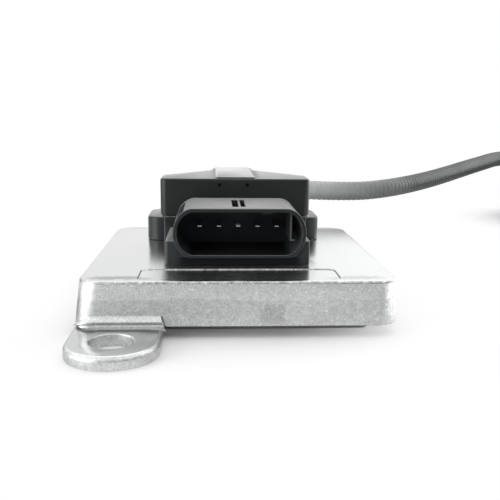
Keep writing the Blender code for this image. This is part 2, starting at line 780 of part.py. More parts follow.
def make_grommet():
    """The rubber boot: a flange held in the hood, a neck, a collar and a ribbed taper."""
    curve = cable_curve()
    inner = [(-13.6, 4.9), (-11.6, 4.9), (-11.5, 4.25), (-0.1, 4.25), (0.0, 5.4), (1.3, 5.4), (1.6, 4.95)]
    stations = [(distance * MM, radius * MM) for distance, radius in inner]
    ribs = 4
    rib_start = 1.6 * MM
    rib_pitch = (BOOT_LENGTH - rib_start) / ribs
    for index in range(ribs):
        low = (4.3 - 0.1 * index) * MM
        high = (5.0 - 0.15 * index) * MM
        begin = rib_start + index * rib_pitch
        stations.append((begin + 0.25 * rib_pitch, low))
        stations.append((begin + 0.45 * rib_pitch, low))
        stations.append((begin + 0.65 * rib_pitch, high))
        stations.append((begin + 0.95 * rib_pitch, high - 0.05 * MM))
    stations.append((BOOT_LENGTH, 3.95 * MM))
    rings = []
    for distance, radius in stations:
        if distance < 0.0:
            centre = CABLE_EXIT + Vector((0.0, distance, 0.0))
            direction = Vector((0.0, 1.0, 0.0))
        else:
            centre, direction = along(curve, distance)
        rings.append(ring_at(centre, direction, radius, 16))
    return loft("cable_grommet", rings, seal_rubber(), smooth_angle=30.0)


def tube(name, points, radius, finish, resolution=2):
    """A tube along points, as a curve with closed ends."""
    data = bpy.data.curves.new(name, "CURVE")
    data.dimensions = "3D"
    data.bevel_depth = radius
    data.bevel_resolution = resolution
    data.use_fill_caps = True
    line = data.splines.new("POLY")
    line.points.add(len(points) - 1)
    for slot, point in zip(line.points, points):
        slot.co = (*point, 1.0)
    made = bpy.data.objects.new(name, data)
    data.materials.append(finish)
    bpy.context.scene.collection.objects.link(made)
    return made


def make_cable_run():
    """The cable that lies free, from the boot over the coil's last quarter turn."""
    curve = cable_curve()
    lead_in = BOOT_LENGTH + GAP
    start = lead_in + 0.5 * CABLE_RADIUS
    length = curve_length(curve) - start
    count = round(length / CABLE_SPACING)
    points = [along(curve, lead_in)[0]]
    points += [along(curve, start + length * index / count)[0] for index in range(count + 1)]
    return tube("cable_run", points, CABLE_RADIUS, cable_sheath())


def make_cable_coil():
    """Two turns of cable, one on the other, as one turned ring."""
    profile = []
    steps = 5
    for hub_z, start in ((COIL_LOW_Z + COIL_LAYER, 0.0), (COIL_LOW_Z, 180.0)):
        for step in range(steps + 1):
            angle = math.radians(start + 180.0 * step / steps)
            radius = COIL_RADIUS + CABLE_RADIUS * math.cos(angle)
            profile.append((radius, hub_z + CABLE_RADIUS * math.sin(angle)))
    coil = turned("cable_coil", profile, cable_sheath(), hollow=True, steps=36, smooth_angle=50.0)
    return place(coil, (COIL_X, COIL_Y, 0.0))


def make_cable_tail():
    """The last of the cable, from the coil up to the probe's seal."""
    start_y = COIL_Y - 24.6 * MM
    end_y = PROBE_REAR_Y + GAP
    rise = PROBE_Z - COIL_LOW_Z
    points = []
    steps = 8
    for step in range(steps + 1):
        share = step / steps
        lift = share * share * (3 - 2 * share)
        y = start_y + (end_y - start_y) * share
        points.append(Vector((PROBE_X, y, COIL_LOW_Z + rise * lift)))
    return tube("cable_tail", points, CABLE_RADIUS, cable_sheath())


def make_coil_tie(name, degrees, layers):
    """A strap with its head, round the coil's turns at one place."""
    strap = 1.1 * MM
    half_width = 2.3 * MM
    inner_half = CABLE_RADIUS + 0.8 * MM
    low = COIL_LOW_Z - CABLE_RADIUS - GAP
    high = COIL_LOW_Z + (layers - 1) * COIL_LAYER + CABLE_RADIUS + 0.6 * MM
    half_height = (high - low) / 2
    centre = (0.0, (high + low) / 2)
    inner = rounded_rectangle(inner_half, half_height, 2.6 * MM, 4, centre)
    outer = rounded_rectangle(inner_half + strap, half_height + strap, 3.6 * MM, 4, centre)
    rings = []
    for outline, side in ((inner, -1), (outer, -1), (outer, 1), (inner, 1)):
        rings.append([(x, side * half_width, z) for x, z in outline])
    tie = loft(name, rings, black_moulding(), closed_loop=True)
    head_low = (inner_half + 0.5 * strap, -3.2 * MM, high - 7.5 * MM)
    head_high = (inner_half + strap + 3.2 * MM, 3.2 * MM, high - 2.5 * MM)
    head = block(name + "_head", head_low, head_high, black_moulding(), 0.8 * MM)
    centre_point = coil_point(degrees, 0.0)
    for part in (tie, head):
        place(part, centre_point, (0.0, 0.0, math.radians(degrees)))
    return join(tie, head)


def make_board():
    """The circuit board with its fixing and lead holes."""
    outline = rounded_rectangle(BOARD_HALF, BOARD_HALF, 2.0 * MM, 3)
    board = prism("circuit_board", outline, BOARD_LOW_Z, BOARD_TOP_Z, board_green())
    holes = []
    for index, (x, y) in enumerate(post_places(), 1):
        radius = SCREW_RADIUS + GAP
        profile = [(radius, BOARD_LOW_Z - 1.0 * MM), (radius, BOARD_TOP_Z + 1.0 * MM)]
        hole = turned("fixing_hole_%d" % index, profile, board_green(), steps=8)
        holes.append(place(hole, (x, y, 0.0)))
    for index, x in enumerate(terminal_places(), 1):
        half_x = TERMINAL_WIDTH / 2 + GAP
        half_y = TERMINAL_THICKNESS / 2 + GAP
        low = (x - half_x, TERMINAL_BEND_Y - half_y, BOARD_LOW_Z - 1.0 * MM)
        high = (x + half_x, TERMINAL_BEND_Y + half_y, BOARD_TOP_Z + 1.0 * MM)
        holes.append(block("terminal_hole_%d" % index, low, high, board_green()))
    for index, x in enumerate(lead_places(), 1):
        profile = [(LEAD_RADIUS + GAP, BOARD_LOW_Z - 1.0 * MM), (LEAD_RADIUS + GAP, BOARD_TOP_Z + 1.0 * MM)]
        hole = turned("lead_hole_%d" % index, profile, board_green(), steps=6)
        holes.append(place(hole, (x, LEAD_DROP_Y, 0.0)))
    bpy.context.view_layer.update()
    return cut_all(board, "board_hole_cutter", holes)


def make_board_screws():
    """Four small pan-head screws from below."""
    for index, (x, y) in enumerate(post_places(), 1):
        head_top = BOARD_LOW_Z - GAP
        profile = [
            (1.6 * MM, head_top - 1.3 * MM),
            (2.1 * MM, head_top - 0.9 * MM),
            (2.1 * MM, head_top),
            (SCREW_RADIUS, head_top),
            (SCREW_RADIUS, 10.2 * MM),
            (0.6 * MM, 10.8 * MM),
        ]
        screw = turned("board_screw_%d" % index, profile, stainless(), steps=12)
        place(screw, (x, y, 0.0))


def make_chip(name, centre, size, below):
    """A moulded package on the board's top or underside, with drafted sides."""
    half_x = size[0] / 2
    half_y = size[1] / 2
    foot = BOARD_LOW_Z - GAP if below else BOARD_TOP_Z + GAP
    sign = -1 if below else 1
    levels = [(0.0, 0.15 * MM), (0.5 * size[2], 0.0), (size[2], 0.2 * MM)]
    rings = []
    for height, inset in levels:
        outline = rounded_rectangle(half_x - inset, half_y - inset, 0.4 * MM, 2, centre)
        rings.append(at_height(outline, foot + sign * height))
    return loft(name, rings, chip_black())


def make_board_parts():
    """The parts that stand on the board."""
    make_chip("microcontroller", (-14.0 * MM, -12.0 * MM), (12.0 * MM, 12.0 * MM, 1.4 * MM), True)
    make_chip("heater_driver", (14.0 * MM, -14.0 * MM), (9.0 * MM, 7.0 * MM, 1.8 * MM), True)
    make_chip("voltage_regulator", (18.0 * MM, 14.0 * MM), (6.4 * MM, 6.0 * MM, 1.6 * MM), True)
    for index, x in ((1, -20.0 * MM), (2, -12.0 * MM)):
        profile = [
            (2.6 * MM, BOARD_LOW_Z - GAP - 2.1 * MM),
            (2.9 * MM, BOARD_LOW_Z - GAP - 1.8 * MM),
            (2.9 * MM, BOARD_LOW_Z - GAP),
        ]
        can = turned("storage_capacitor_%d" % index, profile, sheet_aluminium(), steps=16)
        place(can, (x, 16.0 * MM, 0.0))
    choke_profile = [
        (1.3 * MM, BOARD_TOP_Z + GAP),
        (3.3 * MM, BOARD_TOP_Z + GAP),
        (3.5 * MM, BOARD_TOP_Z + 1.2 * MM),
        (3.3 * MM, BOARD_TOP_Z + 2.1 * MM),
        (1.3 * MM, BOARD_TOP_Z + 2.1 * MM),
    ]
    choke = turned("choke_ring", choke_profile, chip_black(), hollow=True, steps=16)
    place(choke, (22.0 * MM, -4.0 * MM, 0.0))
    crystal = make_chip("quartz_crystal", (-3.0 * MM, -22.0 * MM), (7.0 * MM, 3.2 * MM, 1.5 * MM), True)
    crystal.data.materials[0] = stainless()


def lead_places():
    middle = (LEAD_COUNT - 1) / 2
    return [(index - middle) * LEAD_PITCH for index in range(LEAD_COUNT)]


def make_sensor_leads():
    """Six insulated leads that leave the boot and drop to the board."""
    start = CABLE_EXIT + Vector((0.0, -FLANGE_LENGTH - GAP, 0.0))
    for index, x in enumerate(lead_places(), 1):
        lean = 0.62 * x
        points = [
            Vector((lean, start.y, start.z)),
            Vector((lean + 0.25 * (x - lean), start.y - 1.8 * MM, start.z - 0.1 * MM)),
            Vector((lean + 0.6 * (x - lean), start.y - 3.8 * MM, start.z - 0.8 * MM)),
            Vector((x, start.y - 5.4 * MM, start.z - 2.2 * MM)),
            Vector((x, start.y - 6.3 * MM, start.z - 4.2 * MM)),
            Vector((x, LEAD_DROP_Y, start.z - 7.0 * MM)),
            Vector((x, LEAD_DROP_Y, TERMINAL_FOOT_Z + 0.2 * MM)),
        ]
        curve = smooth_route(points, 2)
        tube("sensor_lead_%d" % index, curve, LEAD_RADIUS, cable_sheath(), 1)


def probe_part(name, profile, finish, hollow=True, steps=ROUND_STEPS, smooth_angle=35.0):
    """A turned piece of the probe: profile points are (radius, distance from its rear), in mm."""
    scaled = [(radius * MM, distance * MM) for radius, distance in profile]
    made = turned(name, scaled, finish, hollow, steps, smooth_angle)
    return place(made, (PROBE_X, PROBE_REAR_Y, PROBE_Z), (math.radians(90.0), 0.0, 0.0))


def radial_holes(name, count, radius, distance, reach, offset=0.0):
    """Round tools that point outwards from the probe's axis."""
    tools = []
    for index in range(count):
        angle = math.tau * (index + offset) / count
        tool = turned("%s_%d" % (name, index), [(radius, 2.0 * MM), (radius, reach)], stainless(), steps=8)
        turn = Matrix.Rotation(angle, 4, "Z") @ Matrix.Rotation(math.radians(90.0), 4, "Y")
        tool.data.transform(Matrix.Translation((0.0, 0.0, distance)) @ turn)
        tools.append(tool)
    return tools


def drill_probe(target, name, tools):
    """Cuts tools given in the probe's own axes."""
    cut_all(target, name, tools)
    tool = bpy.data.objects[name]
    place(tool, target.location, target.rotation_euler)
    return target


def make_probe():
    """The exhaust probe, from its cable seal to the guard tubes."""
    seal = [(5.5, 0.0), (5.8, 0.6), (5.8, 4.4), (5.2, 5.0), (5.2, 7.0), (5.8, 7.6), (5.8, 11.0)]
    probe_part("probe_seal", seal, seal_rubber(), hollow=False, steps=20)
    sleeve = [
        (6.15, 1.6),
        (6.75, 1.6),
        (6.75, 4.4),
        (6.15, 5.2),
        (6.15, 6.8),
        (6.75, 7.6),
        (6.75, 33.0),
        (7.5, 34.4),
        (7.5, 40.0),
        (6.9, 40.0),
        (6.9, 34.8),
        (6.15, 33.4),
        (6.15, 8.0),
        (5.55, 7.0),
        (5.55, 5.0),
        (6.15, 4.0),
    ]
    probe_part("probe_sleeve", sleeve, stainless())
    body = [
        (5.5, 34.9),
        (6.6, 34.9),
        (6.6, 40.4),
        (7.6, 40.4),
        (7.6, 66.3),
        (8.8, 66.3),
        (8.8, 68.4),
        (8.2, 69.4),
        (7.3, 69.4),
        (7.3, 72.0),
        (6.6, 72.0),
        (6.6, 68.6),
        (5.5, 68.6),
    ]
    probe_part("probe_body", body, stainless())
    make_union_screw()

    outer_guard = [
        (5.8, 68.9),
        (6.3, 68.9),
        (6.3, 89.6),
        (5.6, 91.4),
        (4.6, 92.0),
        (1.3, 92.0),
        (1.3, 91.5),
        (4.4, 91.5),
        (5.2, 91.0),
        (5.8, 89.4),
    ]
    guard = probe_part("outer_guard_tube", outer_guard, stainless(), steps=28)
    drill_probe(guard, "outer_guard_drill", radial_holes("outer_hole", 8, 1.15 * MM, 76.5 * MM, 8.0 * MM))
    inner_guard = [
        (4.0, 69.3),
        (4.5, 69.3),
        (4.5, 86.6),
        (3.8, 88.0),
        (0.9, 88.4),
        (0.9, 87.9),
        (3.5, 87.5),
        (4.0, 86.4),
    ]
    inner = probe_part("inner_guard_tube", inner_guard, stainless(), steps=20)
    holes = radial_holes("inner_hole", 6, 0.9 * MM, 82.5 * MM, 6.0 * MM, 0.5)
    drill_probe(inner, "inner_guard_drill", holes)

    for name, low, high, radius in (
        ("rear_ceramic_bush", 14.0, 31.0, 5.8),
        ("middle_ceramic_bush", 40.0, 50.0, 5.2),
        ("powder_seal", 50.3, 57.0, 5.2),
        ("front_ceramic_bush", 57.3, 67.5, 5.2),
    ):
        rim = radius - 0.4
        profile = [(rim, low), (radius, low + 0.4), (radius, high - 0.4), (rim, high)]
        bush = probe_part(name, profile, white_ceramic(), hollow=False, steps=16)
        slot_low = (-2.4 * MM, -1.1 * MM, (low - 1.0) * MM)
        slot_high = (2.4 * MM, 1.1 * MM, (high + 1.0) * MM)
        slot = block(name + "_slot", slot_low, slot_high, white_ceramic())
        place(slot, bush.location, bush.rotation_euler)
        cut(bush, slot)
    element_rings = []
    for distance, half_x, half_y in ((12.5, 2.1, 0.8), (84.6, 2.1, 0.8), (85.6, 1.4, 0.5)):
        outline = [
            (half_x * MM, half_y * MM),
            (-half_x * MM, half_y * MM),
            (-half_x * MM, -half_y * MM),
            (half_x * MM, -half_y * MM),
        ]
        element_rings.append(at_height(outline, distance * MM))
    element = loft("ceramic_element", element_rings, white_ceramic())
    place(element, (PROBE_X, PROBE_REAR_Y, PROBE_Z), (math.radians(90.0), 0.0, 0.0))


def make_union_screw():
    """The hollow hexagon screw that turns freely on the probe's body."""
    hex_rear = 41.5 * MM
    hex_front = 51.5 * MM
    thread_end = 66.0 * MM
    bore = 8.1 * MM
    corner = HEX_FLATS / math.sqrt(3.0)
    outline = []
    for index in range(6):
        angle = math.radians(60.0 * index)
        outline.append((corner * math.cos(angle), corner * math.sin(angle)))
    screw = prism("union_screw", outline, hex_rear, hex_front, stainless(), smooth_angle=25.0)
    envelope_profile = [
        (11.2 * MM, hex_rear - 0.01 * MM),
        (12.9 * MM, hex_rear + 1.0 * MM),
        (12.9 * MM, hex_front - 1.0 * MM),
        (11.2 * MM, hex_front + 0.01 * MM),
    ]
    combine(screw, turned("hex_chamfer", envelope_profile, stainless(), steps=48), "INTERSECT")
    thread_profile = [
        (9.3 * MM, hex_front - 1.0 * MM),
        (9.3 * MM, hex_front + 1.2 * MM),
        (9.95 * MM, hex_front + 1.9 * MM),
        (9.95 * MM, thread_end - 1.0 * MM),
        (9.2 * MM, thread_end),
    ]
    join(screw, turned("thread", thread_profile, stainless(), steps=36))
    bore_profile = [(bore, hex_rear - 1.0 * MM), (bore, thread_end + 1.0 * MM)]
    cut(screw, turned("screw_bore", bore_profile, stainless(), steps=36))
    rotation = (math.radians(90.0), 0.0, 0.0)
    for name in ("union_screw", "hex_chamfer", "thread", "screw_bore"):
        place(bpy.data.objects[name], (PROBE_X, PROBE_REAR_Y, PROBE_Z), rotation)
    return screw


def clear_scene():
    for old in list(bpy.data.objects):
        bpy.data.objects.remove(old)


clear_scene()
make_housing()
make_bottom_plate()
make_bottom_seal()
make_connector_body()
make_header_gasket()
make_terminals()
make_cable_hood()
make_grommet()
make_board()
make_board_screws()
make_board_parts()
make_sensor_leads()
make_cable_run()
make_cable_coil()
make_cable_tail()
make_coil_tie("coil_tie_1", 45.0, 3)
make_coil_tie("coil_tie_2", 225.0, 2)
make_probe()
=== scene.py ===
"""Nitrogen oxide sensor on a white table, seen from its plug socket.

Lengths are in metres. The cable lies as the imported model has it, the unit's pieces are
modelled again with their rounds, grain and marks, and the hidden ones keep their solids.
"""

import math

import bmesh
import bpy
from mathutils import Matrix, Vector


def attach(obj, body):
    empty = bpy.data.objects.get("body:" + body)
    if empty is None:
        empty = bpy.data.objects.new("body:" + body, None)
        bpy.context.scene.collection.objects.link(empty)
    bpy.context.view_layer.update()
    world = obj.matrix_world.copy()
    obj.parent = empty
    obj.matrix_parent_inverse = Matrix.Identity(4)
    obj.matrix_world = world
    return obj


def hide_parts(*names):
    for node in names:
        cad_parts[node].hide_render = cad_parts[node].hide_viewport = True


for leftover in ("Cube", "Light", "Camera"):
    if leftover in bpy.data.objects:
        bpy.data.objects.remove(bpy.data.objects[leftover])
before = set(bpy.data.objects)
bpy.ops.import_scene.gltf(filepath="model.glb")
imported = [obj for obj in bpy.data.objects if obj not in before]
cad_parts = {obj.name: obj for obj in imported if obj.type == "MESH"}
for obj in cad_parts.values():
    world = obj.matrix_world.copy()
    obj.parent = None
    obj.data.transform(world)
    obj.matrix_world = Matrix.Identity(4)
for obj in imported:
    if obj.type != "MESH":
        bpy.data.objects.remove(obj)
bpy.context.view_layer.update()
bpy.ops.object.select_all(action="DESELECT")


# Camera
# It stands a hand's breadth above the table, straight before the plug socket and a little
# to its left, and tilts down. The lens was worked out from the square housing's edges.
MM = 0.001
CAMERA_PLACE = (-6.17 * MM, -180.57 * MM, 49.56 * MM)
CAMERA_TURN = math.radians(3.235)
CAMERA_TILT = math.radians(11.488)
CAMERA_ROLL = math.radians(0.636)
LENS = 49.05

aim = Matrix.Rotation(-CAMERA_TURN, 3, "Z") @ Matrix.Rotation(math.pi / 2 - CAMERA_TILT, 3, "X")
aim = aim @ Matrix.Rotation(CAMERA_ROLL, 3, "Z")
bpy.ops.object.camera_add(location=CAMERA_PLACE, rotation=aim.to_euler())
camera = bpy.context.object
camera.data.lens = LENS
camera.data.sensor_width = 36.0
camera.data.clip_start = 0.01
bpy.context.scene.camera = camera
bpy.context.scene.view_settings.view_transform = "Standard"


# Cable
# Six wires in a finely ribbed polyamide sleeve, dark grey and 7.2 mm thick. It leaves the
# hood to the back, sags to the right, and its spare length is wound flat beside the unit.
CABLE_RADIUS = 3.6 * MM
RIB_PITCH = 2.0 * MM
RIB_DEPTH = 0.11 * MM
BOOT_LENGTH = 15.0 * MM
COIL_CENTRE = (184.0 * MM, 134.0 * MM)
COIL_RADIUS = 40.0 * MM
COIL_LAYER = 7.5 * MM
COIL_LOW_Z = 5.0 * MM
STEP_DOWN = 70.0
PROBE_X = 224.0 * MM
PROBE_Z = 11.0 * MM
PROBE_REAR_Y = 80.0 * MM
CABLE_ROUTE = [
    (0.0, 35.6, 25.2), (0.8, 46.0, 24.7), (5.2, 57.5, 23.8), (14.0, 68.0, 22.2),
    (26.0, 75.5, 20.9), (39.0, 79.0, 20.0), (52.0, 81.5, 19.8), (64.0, 87.5, 20.3),
    (76.0, 97.5, 21.0), (88.0, 109.5, 21.9), (100.0, 121.5, 23.2), (112.0, 133.5, 24.7),
    (124.0, 145.5, 26.1), (136.0, 157.0, 27.4), (148.0, 166.0, 27.4), (160.0, 171.6, 25.6),
    (172.0, 173.8, 22.8),
]


def ease(share):
    """Runs from 0 to 1 with a soft start and end."""
    share = min(max(share, 0.0), 1.0)
    return share * share * (3.0 - 2.0 * share)


def on_coil(degrees, z):
    """The point of the coil's circle at an angle and a height."""
    angle = math.radians(degrees)
    x = COIL_CENTRE[0] + COIL_RADIUS * math.cos(angle)
    return Vector((x, COIL_CENTRE[1] + COIL_RADIUS * math.sin(angle), z))


def coil_points():
    """Two and a quarter turns clockwise, each flat on the one below, stepping down after +X."""
    points = []
    for degrees in range(90, -721, -15):
        turns_done = sum(ease((begin - degrees) / STEP_DOWN) for begin in (0.0, -360.0))
        points.append(on_coil(degrees, COIL_LOW_Z + (2.0 - turns_done) * COIL_LAYER))
    return points


def tail_points():
    """From the coil up to the probe's seal."""
    points = []
    steps = 7
    for step in range(1, steps + 1):
        share = step / steps
        y = COIL_CENTRE[1] + (PROBE_REAR_Y - COIL_CENTRE[1]) * share
        rise = ease(1.25 * share - 0.25)
        points.append(Vector((PROBE_X, y, COIL_LOW_Z + (PROBE_Z - COIL_LOW_Z) * rise)))
    return points


def smooth_line(points, samples=8):
    """A smooth curve through the points, read every millimetre or two."""
    ends = [2 * points[0] - points[1]] + points + [2 * points[-1] - points[-2]]
    line = []
    for index in range(1, len(ends) - 2):
        before, start, end, after = ends[index - 1 : index + 3]
        for step in range(samples):
            t = step / samples
            bend = 2 * before - 5 * start + 4 * end - after
            swing = 3 * start - before - 3 * end + after
            line.append(0.5 * (2 * start + (end - before) * t + bend * t * t + swing * t**3))
    line.append(points[-1].copy())
    return line


def trimmed(line, distance):
    """What is left of a line past a distance from its start."""
    for index, (start, end) in enumerate(zip(line, line[1:])):
        span = (end - start).length
        if distance < span:
            return [start.lerp(end, distance / span)] + line[index + 1 :]
        distance -= span
    return line


def line_length(line):
    return sum((end - start).length for start, end in zip(line, line[1:]))


def draw_outline(name, outline, closed):
    """Draws a line of points with extrudes, starting from a plane shrunk to one point."""
    bpy.ops.mesh.primitive_plane_add(size=1.0)
    drawn = bpy.context.object
    drawn.name = name
    bpy.ops.object.mode_set(mode="EDIT")
    bpy.ops.mesh.select_mode(type="VERT")
    bpy.ops.mesh.select_all(action="SELECT")
    bpy.ops.mesh.merge(type="CENTER")
    bpy.ops.transform.translate(value=outline[0])
    for start, end in zip(outline, outline[1:]):
        extrude(*(Vector(end) - Vector(start)))
    if closed:
        pick("VERT", lambda middle, corner: len(corner.link_edges) == 1)
        bpy.ops.mesh.edge_face_add()
    return drawn


def mm(*sizes):
    return tuple(size * MM for size in sizes)


def extrude(*shift):
    bpy.ops.mesh.extrude_region_move(TRANSFORM_OT_translate={"value": shift})


def face_outwards():
    """Turns every face of the shape in hand outwards, and leaves edit mode."""
    bpy.ops.mesh.select_all(action="SELECT")
    bpy.ops.mesh.normals_make_consistent(inside=False)
    bpy.ops.object.mode_set(mode="OBJECT")


def pick(kind, wanted):
    """In edit mode, selects the corners, edges or faces that pass a test on their middle."""
    bpy.ops.mesh.select_mode(type=kind)
    bpy.ops.mesh.select_all(action="DESELECT")
    shape = bmesh.from_edit_mesh(bpy.context.edit_object.data)
    for item in {"VERT": shape.verts, "EDGE": shape.edges, "FACE": shape.faces}[kind]:
        corners = [item] if kind == "VERT" else item.verts
        middle = sum((corner.co for corner in corners), Vector()) / len(corners)
        item.select_set(bool(wanted(middle, item)))
    shape.select_flush_mode()
    bmesh.update_edit_mesh(bpy.context.edit_object.data)


def turned(name, profile, closed=False, steps=64, smooth_angle=30.0):
    """Spins a profile of (radius, height) points in millimetres about the Z axis."""
    outline = [(radius * MM, 0.0, height * MM) for radius, height in profile]
    made = draw_outline(name, outline, closed)
    bpy.ops.mesh.select_all(action="SELECT")
    bpy.ops.mesh.spin(steps=steps, angle=math.tau, center=(0.0, 0.0, 0.0), axis=(0.0, 0.0, 1.0))
    bpy.ops.mesh.select_all(action="SELECT")
    bpy.ops.mesh.remove_doubles(threshold=0.001 * MM)
    face_outwards()
    bpy.ops.object.shade_smooth_by_angle(angle=math.radians(smooth_angle))
    return made


def apply_modifiers(piece):
    bpy.context.view_layer.objects.active = piece
    for change in list(piece.modifiers):
        bpy.ops.object.modifier_apply(modifier=change.name)


def bend_along(piece, line, copies=1):
    """Strings copies of an upright piece in a row and bends the row along a line."""
    guide_data = bpy.data.curves.new("guide", "CURVE")
    guide_data.dimensions = "3D"
    spline = guide_data.splines.new("POLY")
    spline.points.add(len(line) - 1)
    for slot, point in zip(spline.points, line):
        slot.co = (*point, 1.0)
    guide = bpy.data.objects.new("guide", guide_data)
    bpy.context.scene.collection.objects.link(guide)
    if copies > 1:
        row = piece.modifiers.new("row", "ARRAY")
        row.use_relative_offset = False
        row.use_constant_offset = True
        row.constant_offset_displace = (0.0, 0.0, RIB_PITCH)
        row.count = copies
        row.use_merge_vertices = True
        row.merge_threshold = 0.001 * MM
    bend = piece.modifiers.new("bend", "CURVE")
    bend.object = guide
    bend.deform_axis = "POS_Z"
    apply_modifiers(piece)
    bpy.data.objects.remove(guide)


class Wire:
    """A shader socket in a formula: arithmetic adds Math nodes, and node() any other kind."""

    def __init__(self, tree, socket=None):
        self.tree = tree
        self.socket = socket

    def node(self, kind, settings=None, inputs=None, output=0):
        made = self.tree.nodes.new("ShaderNode" + kind)
        for key, value in (settings or {}).items():
            setattr(made, key, value)
        for key, value in (inputs or {}).items():
            if isinstance(value, Wire):
                self.tree.links.new(value.socket, made.inputs[key])
            else:
                made.inputs[key].default_value = value
        return Wire(self.tree, made.outputs[output])

    def math(self, operation, *values):
        return self.node("Math", {"operation": operation}, dict(enumerate(values)))

    def __add__(self, other):
        return self.math("ADD", self, other)

    def __radd__(self, other):
        return self.math("ADD", other, self)

    def __sub__(self, other):
        return self.math("SUBTRACT", self, other)

    def __rsub__(self, other):
        return self.math("SUBTRACT", other, self)

    def __mul__(self, other):
        return self.math("MULTIPLY", self, other)

    def __rmul__(self, other):
        return self.math("MULTIPLY", other, self)

    def at_least(self, other):
        return self.math("MAXIMUM", self, other)

    def at_most(self, other):
        return self.math("MINIMUM", self, other)

    def away(self):
        """The distance from zero."""
        return self.math("ABSOLUTE", self)

    def axes(self):
        """The three numbers of a vector."""
        return [self.node("SeparateXYZ", inputs={0: self}, output=axis) for axis in range(3)]

    def between(self, low, high):
        """0 below low, 1 above high, and a soft step from one to the other."""
        inputs = {0: self, 1: low, 2: high, 3: 0.0, 4: 1.0}
        return self.node("MapRange", {"interpolation_type": "SMOOTHSTEP"}, inputs)

    def rise(self, low, high):
        """The same step for a length, with its two ends in millimetres."""
        return self.between(low * MM, high * MM)

    def band(self, low, full, last, gone):
        """1 between two places in millimetres, with a soft step on each side."""
        return self.rise(low, full) * (1.0 - self.rise(last, gone))

    def tint(self, first, second):
        """Mixes two colours, this value being the share of the second."""
        inputs = {0: self}
        for slot, colour in ((6, first), (7, second)):
            inputs[slot] = colour if isinstance(colour, Wire) else (*colour, 1.0)
        return self.node("Mix", {"data_type": "RGBA"}, inputs, output=2)


def new_material(name, **constants):
    """A material, the place on its object as a wire, and its Principled node."""
    made = bpy.data.materials.new(name)
    made.use_nodes = True
    shader = made.node_tree.nodes["Principled BSDF"]
    for key, value in constants.items():
        shader.inputs[key.replace("_", " ").title().replace("Ior", "IOR")].default_value = value
    return made, Wire(made.node_tree).node("TexCoord", output=3), shader


def feed(shader, socket, wire):
    wire.tree.links.new(wire.socket, shader.inputs[socket])


def noise(place, scale, detail=2.0):
    return place.node("TexNoise", inputs={"Vector": place, "Scale": scale, "Detail": detail})


def emboss(shader, height, strength, distance):
    """Raises a pattern from the surface by a distance in millimetres."""
    inputs = {"Strength": strength, "Distance": distance * MM, "Height": height}
    feed(shader, "Normal", height.node("Bump", inputs=inputs))


def cover(shader, share, other):
    """Shows another surface instead of the shader's own, by a share of 0 to 1."""
    inputs = {0: share, 1: Wire(share.tree, shader.outputs[0]), 2: other}
    mixed = share.node("MixShader", inputs=inputs)
    share.tree.links.new(mixed.socket, share.tree.nodes["Material Output"].inputs["Surface"])


def sleeve_finish():
    """Dark grey polyamide with scuffed crests; near the unit a painted highlight makes it pale, lighter
    on top and darker underneath.
    """
    made, place, shader = new_material("ribbed_sleeve", ior=1.5)
    facing = place.node("TexCoord", output=1).axes()[2]
    scuff = noise(place, 900.0, 4.0)
    blotch = noise(place, 60.0)
    # Painted highlight: the sleeve is painted pale near the unit, fading out along X, lighter on top
    # than underneath.
    highlight_fade = (place.axes()[0] + 24.0 * MM * (blotch - 0.5)).rise(8.0, 84.0)
    painted_highlight = (1.0 - highlight_fade) * (0.85 + 0.3 * scuff) * (0.35 + 0.65 * facing.between(-0.95, 0.1))
    sleeve_tone = scuff.between(0.35, 0.75).tint((0.040, 0.047, 0.045), (0.062, 0.071, 0.068))
    feed(shader, "Base Color", painted_highlight.tint(sleeve_tone, (0.52, 0.535, 0.53)))
    feed(shader, "Roughness", 0.45 + 0.16 * blotch)
    emboss(shader, scuff, 0.2, 0.04)
    return made


cable_line = smooth_line([Vector(point) * MM for point in CABLE_ROUTE] + coil_points() + tail_points())
free_line = trimmed(cable_line, BOOT_LENGTH)
cable_length = line_length(free_line)
crest = CABLE_RADIUS / MM
root = (CABLE_RADIUS - RIB_DEPTH) / MM
pitch = RIB_PITCH / MM
rib_profile = [
    (root, 0.0), (root, 0.25 * pitch), (crest, 0.45 * pitch), (crest, 0.80 * pitch),
    (root, pitch),
]
sleeve = turned("cable_sleeve", rib_profile, steps=20, smooth_angle=60.0)
rib_count = int(cable_length / RIB_PITCH)
bend_along(sleeve, free_line, rib_count)
bpy.ops.object.mode_set(mode="EDIT")
bpy.ops.mesh.select_mode(type="EDGE")
bpy.ops.mesh.select_all(action="DESELECT")
bpy.ops.mesh.select_non_manifold(extend=False)
bpy.ops.mesh.edge_face_add()
face_outwards()
sleeve.data.materials.append(sleeve_finish())
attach(sleeve, "sensor")
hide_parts("cable_run", "cable_coil", "cable_tail")


def settle(piece, finish, slot, *nodes, body="sensor"):
    """Gives a finished piece its material and its body, and hides the solids that it stands for."""
    piece.data.materials.clear()
    piece.data.materials.append(finish)
    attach(piece, body)
    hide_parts(*nodes)


# Housing
# One aluminium die casting, tumbled after casting: grainy drafted walls, a smooth bright
# roof with a rolled edge, a coined panel before the socket, and two flat bolting ears.
HOUSING_TOP_Z = 13.0 * MM
HOUSING_FOOT_Z = 2.8 * MM
HOUSING_TOP_HALF = 35.7 * MM
HOUSING_FOOT_HALF = 36.1 * MM
HOUSING_CORNER = 5.0 * MM
CORNER_FLARE = 0.95 * MM
ROLL = 0.55 * MM
COIN_HALF_X = 22.6 * MM
COIN_FRONT_Y = -34.2 * MM
COIN_REAR_Y = -23.35 * MM
COIN_DEPTH = 0.2 * MM
EAR_X = 26.85 * MM
EAR_INNER_Y = 34.3 * MM
EAR_TIP_Y = 55.1 * MM
EAR_RADIUS = 9.95 * MM
EAR_THICKNESS = 2.8 * MM
EAR_HOLE = (27.0 * MM, 45.0 * MM)
EAR_HOLE_RADIUS = 4.68 * MM


def in_place(name):
    """Names the object in hand and puts its place into its mesh."""
    made = bpy.context.object
    made.name = name
    bpy.ops.object.transform_apply(location=True, rotation=True, scale=True)
    return made


